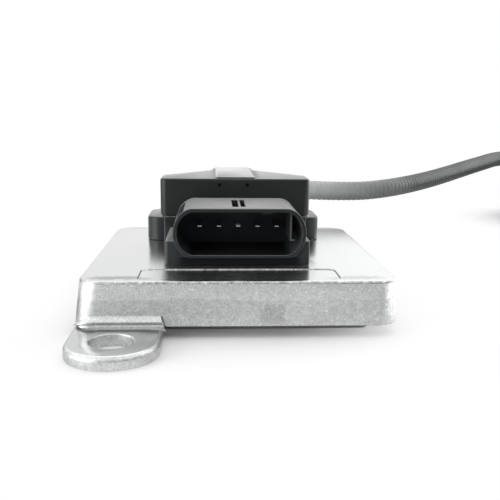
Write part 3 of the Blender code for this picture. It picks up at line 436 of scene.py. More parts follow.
def block(name, low, high):
    """A cube between two corners, as the start of a piece."""
    size = [top - bottom for bottom, top in zip(low, high)]
    middle = [(top + bottom) / 2 for bottom, top in zip(low, high)]
    bpy.ops.mesh.primitive_cube_add(size=1.0, location=middle, scale=size)
    return in_place(name)


def round_edges(piece, radius, segments, wanted, profile=0.5):
    """Bevels the edges that pass a test on their middle."""
    bpy.context.view_layer.objects.active = piece
    bpy.ops.object.mode_set(mode="EDIT")
    pick("EDGE", wanted)
    bpy.ops.mesh.bevel(offset=radius, segments=segments, profile=profile, clamp_overlap=False)
    bpy.ops.object.mode_set(mode="OBJECT")
    return piece


def upright(middle, edge):
    """True for an edge that runs straight up."""
    along = edge.verts[0].co - edge.verts[1].co
    return abs(along.z) > 0.9 * along.length


def combine(piece, tool, operation):
    """Joins or cuts with another mesh, which is then removed."""
    change = piece.modifiers.new(operation, "BOOLEAN")
    change.operation = operation
    change.solver = "EXACT"
    change.object = tool
    apply_modifiers(piece)
    bpy.data.objects.remove(tool)


def smooth(piece, angle=30.0):
    bpy.ops.object.select_all(action="DESELECT")
    piece.select_set(True)
    bpy.context.view_layer.objects.active = piece
    bpy.ops.object.shade_smooth_by_angle(angle=math.radians(angle))
    return piece


def rod(name, radius, low, high, place=(0.0, 0.0), vertices=64):
    """An upright cylinder, as a tool."""
    size = {"vertices": vertices, "radius": radius, "depth": high - low}
    bpy.ops.mesh.primitive_cylinder_add(location=(*place, (low + high) / 2), **size)
    return in_place(name)


def cast_metal():
    """Bright die-cast aluminium: sparkling grain on the walls, smoother faces on top, painted shade on
    the rolled edge and behind the roof's front edge, and a painted highlight on the ear roots.
    """
    made, place, shader = new_material("die_cast_aluminium", metallic=1.0)
    x, y, z = place.axes()
    top = place.node("TexCoord", output=1).axes()[2].between(0.88, 0.99)
    cloud = noise(place, 55.0, 3.0)
    grain = noise(place, 2100.0, 3.0)
    coarse = noise(place, 700.0)
    cells = place.node("TexVoronoi", inputs={"Vector": place, "Scale": 3600.0}, output=1)
    fleck = place.node("SeparateColor", inputs={0: cells}, output=0).between(0.93, 0.97)
    fleck = fleck * (0.38 + 0.62 * z.rise(9.5, 12.5)) * (1.0 - top)
    tide = (z + 2.2 * MM * (cloud - 0.5)).rise(8.6, 9.1)
    wander = 3.0 * MM * (coarse - 0.5)
    loose_x, loose_y, loose_z = x + wander, y + wander, z + wander
    mark = loose_x.band(4.0, 5.0, 9.2, 10.4) * loose_z.band(3.2, 4.0, 6.8, 8.0)
    mark = mark * (1.0 - y.rise(-35.0, -34.0))
    # Painted shade: the rolled top edge is painted darker in patches, which tones down its highlight.
    painted_roll_shade = z.rise(12.35, 12.5) * (0.22 + 1.2 * (coarse - 0.5))
    # Painted highlight: the lower face of each ear root's ledge is painted brighter, fading out near
    # the corners.
    heel = z.band(2.85, 2.95, 3.3, 3.5) * y.away().rise(36.15, 36.2)
    heel = heel * (1.0 - x.away().rise(31.5, 33.0))
    shade = 0.63 + 0.20 * (cloud - 0.5) + 0.46 * (grain - 0.5) + 0.24 * (coarse - 0.5)
    shade = shade + 0.09 * tide - 0.14 * mark + 0.40 * fleck - painted_roll_shade + 0.25 * heel
    # Painted shade: the roof is painted darker in streaks just behind its front edge, more at the left
    # than the right, where it rolls over.
    painted_rollover_shade = loose_x.band(-35.0, -31.0, -24.0, -18.0) + 0.5 * loose_x.band(18.0, 24.0, 30.0, 34.0)
    painted_rollover_shade = painted_rollover_shade * loose_y.band(-34.2, -32.8, -31.6, -29.8)
    roof = z.rise(2.9, 4.0)
    smooth_top = 0.60 + 0.11 * roof + 0.06 * (cloud - 0.5) - 0.36 * painted_rollover_shade
    bright = shade + top * (smooth_top - shade)
    feed(shader, "Base Color", bright.tint((0.0, 0.0, 0.0), (0.985, 1.0, 0.995)))
    coin_floor = top * roof * (1.0 - z.rise(12.83, 12.95))
    gloss = 0.25 * top - 0.03 * coin_floor + 0.15 * fleck
    feed(shader, "Roughness", 0.44 - gloss + 0.10 * (grain - 0.5) * (1.0 - top))
    emboss(shader, (grain + 1.3 * coarse) * (1.0 - 0.9 * top) + 0.4 * cloud, 0.55, 0.03)
    return made


def make_ear(side):
    """A flat tongue with a round end, a heel under the housing's corner and a bolt hole."""
    reach = sorted((side * EAR_INNER_Y, side * EAR_TIP_Y))
    width = sorted((side * (EAR_X - EAR_RADIUS), side * (EAR_X + EAR_RADIUS)))
    ear = block("ear", (width[0], reach[0], 0.0), (width[1], reach[1], EAR_THICKNESS))
    tip = side * EAR_TIP_Y

    def at_tip(middle, edge):
        return upright(middle, edge) and abs(middle.y - tip) < MM

    def rim(height):
        def wanted(middle, edge):
            return abs(middle.z - height) < 0.01 * MM and abs(middle.y) > EAR_INNER_Y + 0.01 * MM

        return wanted

    round_edges(ear, EAR_RADIUS - 0.01 * MM, 32, at_tip)
    round_edges(ear, 1.1 * MM, 6, rim(EAR_THICKNESS))
    round_edges(ear, 0.3 * MM, 3, rim(0.0))
    bpy.ops.object.mode_set(mode="EDIT")
    bpy.ops.mesh.select_all(action="SELECT")
    bpy.ops.mesh.bisect(plane_co=(side * 35.1 * MM, 0.0, 0.0), plane_no=(1.0, 0.0, 0.0))
    inner = EAR_INNER_Y + 0.01 * MM
    pick("VERT", lambda middle, corner: abs(middle.x) > 35.2 * MM and abs(middle.y) < inner)
    bpy.ops.transform.translate(value=(0.0, -side * 2.1 * MM, 0.0))
    bpy.ops.object.mode_set(mode="OBJECT")
    hole_place = (side * EAR_HOLE[0], side * EAR_HOLE[1])
    hole = rod("hole", EAR_HOLE_RADIUS, -MM, EAR_THICKNESS + MM, hole_place, 96)
    combine(ear, hole, "DIFFERENCE")
    centre = Vector((*hole_place, EAR_THICKNESS))

    def lip(middle, edge):
        spread = Vector((middle.x - centre.x, middle.y - centre.y)).length
        return abs(middle.z - EAR_THICKNESS) < 0.01 * MM and spread < EAR_HOLE_RADIUS + 0.1 * MM

    return round_edges(ear, 0.35 * MM, 4, lip)


def make_ear_root():
    """The ledge where the front wall runs out over its ear and dies away round the corner."""
    section = [(-35.2, 2.0), (-36.55, 2.0), (-36.25, 3.4), (-36.05, 3.5), (-36.0, 3.75)]
    section += [(-36.85, 3.92), (-36.98, 4.05), (-36.95, 4.25), (-36.8, 4.42)]
    section += [(-36.5, 4.76), (-36.25, 5.08), (-36.07, 5.4), (-35.97, 5.8), (-35.2, 5.85)]
    ledge = draw_outline("ear_root", [(-17.2 * MM, y * MM, z * MM) for y, z in section], True)
    bpy.ops.mesh.select_all(action="SELECT")
    bpy.ops.mesh.edge_face_add()
    extrude(-15.0 * MM, 0.0, 0.0)
    pick("VERT", lambda middle, corner: middle.x > -18.0 * MM and middle.z < 3.0 * MM)
    bpy.ops.transform.translate(value=(0.9 * MM, 0.0, 0.0))
    pick("FACE", lambda middle, face: middle.x < -32.1 * MM)
    for shift, turn, squash in (
        ((-1.6, 0.1), 12.0, 0.92),
        ((-1.3, 0.5), 22.0, 0.80),
        ((-0.9, 0.9), 22.0, 0.72),
        ((-0.4, 1.1), 20.0, 0.70),
    ):
        extrude(*mm(*shift, 0.0))
        shape = bmesh.from_edit_mesh(ledge.data)
        centre = [face for face in shape.faces if face.select][0].calc_center_median()
        bpy.ops.transform.rotate(value=math.radians(turn), orient_axis="Z", center_override=centre)
        low = (centre.x, centre.y, 2.0 * MM)
        bpy.ops.transform.resize(value=(1.0, 1.0, squash), center_override=low)
    face_outwards()
    return ledge


def make_notch():
    """The narrow slanting groove between the ear root's end and the wall beside it."""
    notch = block("notch", mm(-17.5, -38.0, 2.0), mm(-17.1, -34.9, 5.3))
    bpy.ops.object.mode_set(mode="EDIT")
    pick("VERT", lambda middle, corner: middle.z < 3.0 * MM)
    bpy.ops.transform.translate(value=(1.15 * MM, 0.0, 0.0))
    bpy.ops.object.mode_set(mode="OBJECT")
    return notch


def half_turn(tool):
    tool.data.transform(Matrix.Rotation(math.pi, 4, "Z"))


def spread_level(piece, low, high, factor):
    """Scales what lies between two heights about the unit's upright axis, as draft."""
    bpy.context.view_layer.objects.active = piece
    bpy.ops.object.mode_set(mode="EDIT")
    pick("VERT", lambda middle, corner: low < middle.z < high)
    bpy.ops.transform.resize(value=(factor, factor, 1.0), center_override=(0.0, 0.0, 0.0))
    bpy.ops.object.mode_set(mode="OBJECT")


def make_housing():
    half = HOUSING_FOOT_HALF
    shell = block("housing", (-half, -half, HOUSING_FOOT_Z), (half, half, HOUSING_TOP_Z))
    spread_level(shell, 12.0 * MM, 14.0 * MM, HOUSING_TOP_HALF / HOUSING_FOOT_HALF)
    bpy.ops.object.mode_set(mode="EDIT")
    for side in (-1, 1):
        pick("VERT", lambda at, corner: at.z < 4.0 * MM and side * at.x > 0.0 and side * at.y > 0.0)
        bpy.ops.transform.translate(value=(side * CORNER_FLARE, 0.0, 0.0))
    bpy.ops.object.mode_set(mode="OBJECT")
    round_edges(shell, HOUSING_CORNER, 12, upright)
    round_edges(shell, ROLL, 5, lambda middle, edge: middle.z > HOUSING_TOP_Z - 0.1 * MM)
    round_edges(shell, 0.35 * MM, 3, lambda middle, edge: middle.z < HOUSING_FOOT_Z + 0.1 * MM)
    for reach, top, corner in (mm(34.2, 5.5, 3.4), mm(32.4, 10.8, 2.6)):
        hollow = block("hollow", (-reach, -reach, 0.0), (reach, reach, top))
        round_edges(hollow, corner, 6, upright)
        combine(shell, hollow, "DIFFERENCE")
    for side in (-1, 1):
        combine(shell, make_ear(side), "UNION")
        root = make_ear_root()
        notch = make_notch()
        if side > 0:
            half_turn(root)
            half_turn(notch)
        combine(shell, root, "UNION")
        combine(shell, notch, "DIFFERENCE")

    floor_corner = (-COIN_HALF_X, COIN_FRONT_Y, HOUSING_TOP_Z - COIN_DEPTH)
    coin = block("coin", floor_corner, (COIN_HALF_X, COIN_REAR_Y, 14.0 * MM))
    round_edges(coin, 2.0 * MM, 8, upright)
    bpy.ops.object.mode_set(mode="EDIT")
    pick("VERT", lambda middle, corner: middle.z > 13.9 * MM)
    bpy.ops.transform.resize(value=(1.08, 1.06, 1.0), center_override=(0.0, -29.2 * MM, 14.0 * MM))
    bpy.ops.object.mode_set(mode="OBJECT")
    combine(shell, coin, "DIFFERENCE")
    window = block("window", mm(-12.4, 0.5, 8.0), mm(12.4, 27.0, 14.0))
    round_edges(window, 2.0 * MM, 4, upright)
    combine(shell, window, "DIFFERENCE")
    return smooth(shell, 28.0)


cast_metal_finish = cast_metal()
settle(make_housing(), cast_metal_finish, "cast_aluminium", "housing_shell")


# Plug socket and base
# One glass-filled black moulding screwed down on the roof's seal. The long rounded socket
# stands forward on a foot, has two latch windows on top, and a coding rib at its right.
BASE_Z = 13.3 * MM
WING_HALF_X = 24.8 * MM
WING_FRONT_Y = 12.5 * MM
WING_REAR_Y = 30.6 * MM
WING_TOP_Z = 19.8 * MM
NECK_TOP_Z = 21.9 * MM
SHELF_TOP_Z = 22.3 * MM
FOOT_TOP_Z = 19.05 * MM
HOOD_FRONT_Y = 0.1 * MM
HOOD_BEND_Y = 11.0 * MM
HOOD_TAPER_Y = 28.4 * MM
HOOD_REAR_Y = 35.2 * MM
HOOD_HALF_X = 20.0 * MM
THROAT_HALF_X = 6.2 * MM
SOCKET_X = 0.4 * MM
SOCKET_Z = 20.9 * MM
SOCKET_HALF_X = 16.0 * MM
SOCKET_HALF_Z = 6.1 * MM
SOCKET_END_X = 4.9 * MM
SOCKET_FRONT_Y = -21.0 * MM
SOCKET_WALL = 0.85 * MM
SOCKET_FLOOR_Y = -3.5 * MM


def black_moulding():
    """Glass-filled black plastic with a fine spark-eroded grain. Painted shade covers its socket
    pocket, the foot's front under the socket and the gate marks, and painted light brightens the
    socket's and foot's tops, its lower faces and the coding rib's front edge.
    """
    constants = {"ior": 1.42, "sheen_weight": 0.68, "sheen_roughness": 0.3}
    made, place, shader = new_material("black_moulding", **constants)
    x, y, z = place.axes()
    facing = place.node("TexCoord", output=1).axes()[2]
    top = facing.between(0.85, 0.98)
    grain = noise(place, 3000.0)
    flow = noise(place, 90.0, 3.0)
    sideways = (x - SOCKET_X).away()
    # Painted shade: inside the socket's pocket the surface is covered by a plain dark diffuse one, a
    # little less right of the coding rib.
    pocket = y.band(-20.7, -20.2, -3.3, -3.0) * (1.0 - sideways.rise(15.2, 15.3))
    pocket = pocket * (1.0 - (z - SOCKET_Z).away().rise(5.3, 5.4))
    pocket = pocket * (1.0 - 0.2 * x.rise(13.2, 13.3))
    # Painted highlight: the coding rib's front edge is a light line within the pocket's painted shade.
    painted_rib_highlight = (1.0 - (y + 18.0 * MM).away().rise(0.04, 0.08)) * x.rise(12.72, 12.8)
    painted_rib_highlight = painted_rib_highlight * (1.0 - x.rise(13.02, 13.1)).at_least(1.0 - z.rise(19.1, 19.2))
    # Painted shadow: the foot's lower front under the socket is covered dark.
    foot = (1.0 - sideways.rise(13.5, 16.5)) * (1.0 - y.rise(-20.25, -20.1))
    foot = foot * (1.0 - z.rise(14.9, 15.6))
    # Painted shade in the recesses of the two gate marks on the hood's front.
    gate = y.band(0.12, 0.17, 0.7, 0.8) * z.band(29.6, 29.7, 31.0, 31.1)
    painted_shadow = foot.at_least(gate * (1.0 - x.away().rise(5.2, 5.4)))
    # Painted light: the socket's top and shoulders and the foot's top are painted grey, as the light
    # falling on them.
    lit = z.band(23.0, 26.0, 27.2, 27.3) + z.band(18.6, 18.8, 19.1, 19.2)
    lit = lit * facing.between(0.25, 0.9) * (1.0 - y.rise(-0.6, -0.4))
    black = flow.tint((0.0055, 0.008, 0.0083), (0.0095, 0.0125, 0.0125))
    # Painted light: below about the wings' top the moulding is painted a little lighter.
    black = (1.0 - z.rise(18.8, 20.2)).tint(black, (0.018, 0.024, 0.024))
    feed(shader, "Base Color", lit.tint(black, (0.060, 0.063, 0.062)))
    satin = 0.14 * top * z.rise(31.5, 31.6) - 0.06 * top - 0.26 * z.rise(32.1, 32.2)
    feed(shader, "Roughness", 0.34 + 0.08 * flow + 0.06 * grain + satin)
    emboss(shader, grain, 0.3, 0.015)
    # Colours of the painted shade: darkest on up-facing faces, the foot and the gate marks.
    depth = painted_shadow.at_least(top).tint((0.034, 0.036, 0.040), (0.013, 0.0138, 0.015))
    depth = painted_rib_highlight.tint(depth, (0.12, 0.125, 0.12))
    cover(shader, pocket.at_least(painted_shadow), place.node("BsdfDiffuse", inputs={"Color": depth}))
    return made


def socket_bar(name, inset, front_y, rear_y):
    """A bar of the socket's section: a circle stretched into two round ends, then extruded."""
    bpy.ops.mesh.primitive_circle_add(vertices=64, radius=1.0, fill_type="NGON")
    end = SOCKET_END_X - 0.5 * inset
    bpy.context.object.scale = (end, SOCKET_HALF_Z - inset, 1.0)
    bpy.context.object.rotation_euler = (math.pi / 2, 0.0, 0.0)
    bpy.context.object.location = (SOCKET_X, front_y, SOCKET_Z)
    bar = in_place(name)
    bpy.ops.object.mode_set(mode="EDIT")
    for side in (-1, 1):
        pick("VERT", lambda middle, corner: side * (middle.x - SOCKET_X) > -0.01 * MM * side)
        bpy.ops.transform.translate(value=(side * (SOCKET_HALF_X - inset - end), 0.0, 0.0))
    bpy.ops.mesh.select_all(action="SELECT")
    extrude(0.0, rear_y - front_y, 0.0)
    face_outwards()
    return bar


def hood_block(name, inset, low, high):
    """A block with the hood's plan: square in front, then narrowing to the throat."""
    half = HOOD_HALF_X - inset
    narrow = THROAT_HALF_X - inset
    side = [(half, HOOD_FRONT_Y + inset), (half, HOOD_BEND_Y)]
    side += [(narrow, HOOD_TAPER_Y), (narrow, HOOD_REAR_Y - inset)]
    plan = side + [(-x, y) for x, y in reversed(side)]
    made = draw_outline(name, [(x, y, low) for x, y in plan], True)
    bpy.ops.mesh.select_all(action="SELECT")
    bpy.ops.mesh.edge_face_add()
    extrude(0.0, 0.0, high - low)
    face_outwards()
    return made


def lay_down(tool, height):
    """Turns an upright tool to run along +Y at a height."""
    tool.data.transform(Matrix.Translation((0.0, 0.0, height)) @ Matrix.Rotation(-math.pi / 2, 4, "X"))


def make_socket_base():
    wing_corner = (-WING_HALF_X, WING_FRONT_Y, BASE_Z)
    base = block("socket_base", wing_corner, (WING_HALF_X, WING_REAR_Y, WING_TOP_Z))
    round_edges(base, 4.2 * MM, 10, upright)
    round_edges(base, 0.6 * MM, 4, lambda middle, edge: middle.z > WING_TOP_Z - 0.1 * MM)
    neck = block("neck", (-19.0 * MM, -0.6 * MM, BASE_Z), (19.0 * MM, 14.5 * MM, NECK_TOP_Z))
    round_edges(neck, 0.5 * MM, 4, upright)
    combine(base, neck, "UNION")
    combine(base, hood_block("pedestal", 1.2 * MM, WING_TOP_Z - 0.8 * MM, NECK_TOP_Z), "UNION")
    shelf = hood_block("shelf", 0.3 * MM, NECK_TOP_Z - 0.3 * MM, SHELF_TOP_Z)
    round_edges(shelf, 1.9 * MM, 6, lambda middle, edge: upright(middle, edge) and middle.y < MM)
    combine(base, shelf, "UNION")

    foot = block("foot", (-17.45 * MM, -20.3 * MM, BASE_Z), (17.45 * MM, 0.0, FOOT_TOP_Z))
    round_edges(foot, 0.8 * MM, 4, lambda middle, edge: upright(middle, edge) and middle.y < -20.0 * MM)
    round_edges(foot, 0.25 * MM, 3, lambda middle, edge: middle.z > FOOT_TOP_Z - 0.1 * MM)
    combine(base, foot, "UNION")

    outer = socket_bar("socket", 0.0, SOCKET_FRONT_Y, -0.3 * MM)
    round_edges(outer, 0.3 * MM, 4, lambda middle, edge: middle.y < SOCKET_FRONT_Y + 0.01 * MM)
    combine(base, outer, "UNION")
    pocket = socket_bar("pocket", SOCKET_WALL, SOCKET_FRONT_Y - MM, SOCKET_FLOOR_Y)
    combine(base, pocket, "DIFFERENCE")

    for low, high in (
        ((12.7, -18.0, 18.7), (13.25, -3.1, 26.5)),
        ((12.9, -18.0, 18.7), (13.9, -3.1, 19.2)),
        ((5.9, -17.5, 25.2), (8.3, -3.1, 26.5)),
    ):
        combine(base, block("coding", mm(*low), mm(*high)), "UNION")

    for low_x, high_x in ((-1.3 * MM, 0.35 * MM), (0.78 * MM, 2.05 * MM)):
        slot = block("latch_window", (low_x, -17.4 * MM, 25.0 * MM), (high_x, -4.8 * MM, 28.0 * MM))
        round_edges(slot, 0.3 * MM, 4, upright)
        combine(base, slot, "DIFFERENCE")
    hollow = block("base_hollow", mm(-12.0, 0.9, 12.0), mm(12.0, 26.6, 18.6))
    combine(base, hollow, "DIFFERENCE")
    for radius, low, high in ((5.2, 21.6, 24.4), (4.55, 24.3, 37.0)):
        cradle = rod("cradle", radius * MM, low * MM, high * MM)
        lay_down(cradle, 25.2 * MM)
        combine(base, cradle, "DIFFERENCE")
    return smooth(base, 28.0)


black_moulding_finish = black_moulding()
settle(make_socket_base(), black_moulding_finish, "black_moulding", "connector_body")


# Cable hood
# A second black moulding, clipped on over the wires: square in front, narrowing to a
# throat for the boot, with a flat raised spine and two gate marks on its front.
HOOD_Z = 22.35 * MM
HOOD_TOP_Z = 32.0 * MM
HOOD_WALL = 1.6 * MM
THROAT_Z = 25.2 * MM


def make_hood():
    hood = hood_block("hood", 0.0, HOOD_Z, HOOD_TOP_Z)
    round_edges(hood, 1.9 * MM, 6, lambda middle, edge: upright(middle, edge) and middle.y < MM)
    round_edges(hood, 0.8 * MM, 3, lambda middle, edge: upright(middle, edge) and middle.y > 5.0 * MM)

    def top_rim(middle, edge):
        sides = [face.normal.z for face in edge.link_faces]
        return middle.z > HOOD_TOP_Z - 0.1 * MM and min(sides) < 0.5

    round_edges(hood, 0.55 * MM, 4, top_rim)
    spine = block("spine", mm(-5.35, 1.05, 31.0), mm(5.35, 34.25, 32.35))
    round_edges(spine, 0.9 * MM, 4, upright)
    round_edges(spine, 0.25 * MM, 3, lambda middle, edge: middle.z > 32.3 * MM)
    combine(hood, spine, "UNION")
    inside = hood_block("inside", HOOD_WALL, 20.0 * MM, 30.4 * MM)
    combine(hood, inside, "DIFFERENCE")
    throat = rod("throat", 4.55 * MM, 30.0 * MM, 38.0 * MM)
    lay_down(throat, THROAT_Z)
    combine(hood, throat, "DIFFERENCE")
    for x in (-4.2 * MM, 3.15 * MM):
        mark = rod("gate_mark", 0.5 * MM, -0.4 * MM, 0.5 * MM, (x, 0.0), 20)
        lay_down(mark, 30.35 * MM)
        combine(hood, mark, "DIFFERENCE")
    return smooth(hood, 28.0)


settle(make_hood(), black_moulding_finish, "black_moulding", "cable_hood")


# Boot
# A rubber grommet: its flange sits in the hood, its collar closes the throat, and its
# ribbed taper keeps the cable from kinking.
def soft_rubber():
    made, place, shader = new_material("boot_rubber", ior=1.5)
    bloom = noise(place, 120.0, 3.0)
    feed(shader, "Base Color", bloom.tint((0.020, 0.021, 0.021), (0.036, 0.037, 0.036)))
    feed(shader, "Roughness", 0.58 + 0.14 * bloom)
    emboss(shader, noise(place, 1800.0), 0.3, 0.03)
    return made


def make_boot():
    lead = 13.6
    profile = [(0.0, 0.0), (4.9, 0.0), (4.9, 2.0), (4.25, 2.1), (4.25, lead - 0.1), (5.2, lead)]
    profile += [(5.4, lead + 0.2), (5.4, lead + 1.1), (5.2, lead + 1.3), (4.95, lead + 1.6)]
    ribs = 4
    rib_pitch = (BOOT_LENGTH / MM - 1.6) / ribs
    for index in range(ribs):
        low = 4.3 - 0.1 * index
        high = 5.0 - 0.15 * index
        begin = lead + 1.6 + index * rib_pitch
        profile += [(low, begin + 0.22 * rib_pitch), (low, begin + 0.45 * rib_pitch)]
        profile += [(high - 0.1, begin + 0.60 * rib_pitch), (high, begin + 0.68 * rib_pitch)]
        profile += [(high, begin + 0.88 * rib_pitch), (high - 0.1, begin + 0.96 * rib_pitch)]
    profile += [(4.15, lead + BOOT_LENGTH / MM), (0.0, lead + BOOT_LENGTH / MM)]
    boot = turned("boot", profile, steps=48)
    straight = [cable_line[0] + Vector((0.0, -lead * MM * (1.0 - step / 6), 0.0)) for step in range(6)]
    bend_along(boot, straight + cable_line)
    return boot


settle(make_boot(), soft_rubber(), "seal_rubber", "cable_grommet")


# Bottom cover
# A pressed aluminium pan closes the housing from below. Its flange sits on the seal in
# the housing's rebate, and its floor lies on the mounting plane.
PAN_HALF = 29.4 * MM
PAN_RIM_HALF = 31.2 * MM


def sheet_metal():
    """Rolled aluminium: fine lines one way, and a few longer scratches."""
    made, place, shader = new_material("rolled_aluminium", metallic=1.0)
    rolled = place.node("Mapping", inputs={0: place, 3: (0.02, 1.0, 1.0)})
    aslant = place.node("Mapping", inputs={0: place, 2: (0.0, 0.0, 0.6), 3: (0.02, 1.0, 1.0)})
    lines = noise(rolled, 2600.0, 3.0)
    scratch = noise(aslant, 900.0).between(0.66, 0.72)
    shade = 0.56 + 0.12 * (lines - 0.5) + 0.10 * (noise(place, 45.0) - 0.5) + 0.12 * scratch
    feed(shader, "Base Color", shade.tint((0.0, 0.0, 0.0), (0.98, 0.99, 1.0)))
    feed(shader, "Roughness", 0.30 + 0.12 * lines - 0.08 * scratch)
    emboss(shader, lines, 0.3, 0.01)
    return made


def make_bottom_cover():
    pan = block("bottom_cover", (-PAN_HALF, -PAN_HALF, 0.0), (PAN_HALF, PAN_HALF, 3.3 * MM))
    spread_level(pan, 3.0 * MM, 3.5 * MM, PAN_RIM_HALF / PAN_HALF)
    round_edges(pan, 4.2 * MM, 10, upright)
    round_edges(pan, 0.9 * MM, 5, lambda middle, edge: middle.z < 0.1 * MM)
    flange = block("flange", mm(-33.9, -33.9, 2.9), mm(33.9, 33.9, 4.1))
    round_edges(flange, 3.1 * MM, 8, upright)
    round_edges(flange, 0.3 * MM, 3, lambda middle, edge: middle.z > 4.0 * MM)
    combine(pan, flange, "UNION")
    hollow = block("hollow", mm(-28.6, -28.6, 1.2), mm(28.6, 28.6, 5.0))
    spread_level(hollow, 4.9 * MM, 5.1 * MM, 30.6 / 28.6)
    round_edges(hollow, 3.4 * MM, 8, upright)
    combine(pan, hollow, "DIFFERENCE")
    return smooth(pan)


settle(make_bottom_cover(), sheet_metal(), "sheet_aluminium", "bottom_plate")


# Coil ties
# Two moulded straps hold the cable's turns: one round three layers where the cable comes
# in, and one round two layers opposite. Each closes in a square head.
TIE_WIDTH = 4.6 * MM
TIE_STRAP = 1.1 * MM


def make_tie(name, degrees, layers):
    half = CABLE_RADIUS + 0.8 * MM
    outside = half + TIE_STRAP
    low = COIL_LOW_Z - CABLE_RADIUS - 0.3 * MM
    high = COIL_LOW_Z + (layers - 1) * COIL_LAYER + CABLE_RADIUS + 0.6 * MM

    def across(middle, edge):
        along = edge.verts[0].co - edge.verts[1].co
        return abs(along.y) > 0.9 * along.length

    low_corner = (-outside, -TIE_WIDTH / 2, low - TIE_STRAP)
    tie = block(name, low_corner, (outside, TIE_WIDTH / 2, high + TIE_STRAP))
    round_edges(tie, 3.6 * MM, 8, across)
    inside = block("inside", (-half, -TIE_WIDTH, low), (half, TIE_WIDTH, high))
    round_edges(inside, 2.6 * MM, 8, across)
    combine(tie, inside, "DIFFERENCE")
    head = block(
        "head",
        (half + 0.5 * TIE_STRAP, -3.2 * MM, high - 7.5 * MM),
        (outside + 3.2 * MM, 3.2 * MM, high - 2.5 * MM),
    )
    round_edges(head, 0.8 * MM, 4, upright)
    combine(tie, head, "UNION")
    low_corner = (outside + 0.8 * MM, -2.4 * MM, high - 8.0 * MM)
    slot = block("slot", low_corner, (outside + 2.2 * MM, 2.4 * MM, high))
    combine(tie, slot, "DIFFERENCE")
    soften = tie.modifiers.new("soften", "BEVEL")
    soften.width = 0.2 * MM
    soften.segments = 2
    soften.limit_method = "ANGLE"
    soften.angle_limit = math.radians(50.0)
    apply_modifiers(tie)
    turn = Matrix.Rotation(math.radians(degrees), 4, "Z")
    tie.data.transform(Matrix.Translation(on_coil(degrees, 0.0)) @ turn)
    return smooth(tie)


settle(make_tie("tie_1", 45.0, 3), black_moulding_finish, "black_moulding", "coil_tie_1")
settle(make_tie("tie_2", 225.0, 2), black_moulding_finish, "black_moulding", "coil_tie_2")


# Probe
# Turned stainless pieces on one axis: a crimped sleeve over a rubber plug, the body with
# its sealing collar, a loose M20 union screw, and a guard tube with eight gas holes.
HEX_FLATS = 22.0 * MM
HEX_REAR = 41.5 * MM
HEX_FRONT = 51.5 * MM
THREAD_START = 53.4
THREAD_END = 65.0
THREAD_PITCH = 1.5
THREAD_DEPTH = 0.75
THREAD_RADIUS = 9.95
SCREW_BORE = 8.1 * MM
GAS_HOLES = 8
GAS_HOLE_RADIUS = 1.15 * MM
GAS_HOLE_AT = 76.5 * MM


def lay_in_place(piece):
    """Turns an upright piece to point along -Y, with its rear end where the probe begins."""
    turn = Matrix.Rotation(math.radians(90.0), 4, "X")
    piece.data.transform(Matrix.Translation((PROBE_X, PROBE_REAR_Y, PROBE_Z)) @ turn)
    return piece


def turned_steel(name, shade, roughness):
    """Bare stainless with the lathe's rings and a little handling haze."""
    made, place, shader = new_material(name, metallic=1.0)
    rings = noise(place.node("Mapping", inputs={0: place, 3: (0.03, 1.0, 0.03)}), 3200.0, 3.0)
    haze = noise(place, 160.0, 3.0)
    level = shade + 0.14 * (rings - 0.5) + 0.14 * (haze - 0.5)
    feed(shader, "Base Color", level.tint((0.0, 0.0, 0.0), (1.0, 0.975, 0.94)))
    feed(shader, "Roughness", roughness + 0.12 * (haze - 0.5) + 0.08 * (rings - 0.5))
    emboss(shader, rings, 0.35, 0.01)
    return made


def cut_thread(piece):
    """Winds the thread's groove into an upright turned piece."""
    for corner in piece.data.vertices:
        x, y, z = corner.co / MM
        radius = math.hypot(x, y)
        if radius < THREAD_RADIUS - 0.01 or not THREAD_START < z < THREAD_END:
            continue
        phase = (z / THREAD_PITCH - math.atan2(y, x) / math.tau) % 1.0
        groove = min(1.0, max(0.0, 1.35 * (1.0 - abs(2.0 * phase - 1.0)) - 0.12))
        fade = min(1.0, (z - THREAD_START) / 1.2, (THREAD_END - z) / 0.6)
        share = (radius - THREAD_DEPTH * groove * fade) / radius
        corner.co = (x * share * MM, y * share * MM, z * MM)


def make_union_screw():
    middle = (0.0, 0.0, (HEX_REAR + HEX_FRONT) / 2)
    bpy.ops.mesh.primitive_cylinder_add(
        vertices=6,
        radius=HEX_FLATS / math.sqrt(3.0),
        depth=HEX_FRONT - HEX_REAR,
        location=middle,
        rotation=(0.0, 0.0, math.radians(30.0)),
    )
    screw = in_place("hexagon_screw")
    rear = HEX_REAR / MM
    front = HEX_FRONT / MM
    chamfer = [(0.0, rear - 0.01), (11.2, rear - 0.01), (12.9, rear + 1.0)]
    chamfer += [(12.9, front - 1.0), (11.2, front + 0.01), (0.0, front + 0.01)]
    combine(screw, turned("chamfer", chamfer, steps=96), "INTERSECT")
    shank = [(0.0, front - 1.0), (9.3, front - 1.0), (9.3, THREAD_START - 0.7)]
    rows = 90
    length = THREAD_END - THREAD_START
    shank += [(THREAD_RADIUS, THREAD_START + length * row / rows) for row in range(rows + 1)]
    shank += [(9.2, THREAD_END + 1.0), (0.0, THREAD_END + 1.0)]
    thread = turned("thread", shank, steps=96)
    cut_thread(thread)
    combine(screw, thread, "UNION")
    bore = rod("bore", SCREW_BORE, HEX_REAR - MM, (THREAD_END + 2.0) * MM, (0.0, 0.0), 96)
    combine(screw, bore, "DIFFERENCE")
    return smooth(lay_in_place(screw), 25.0)


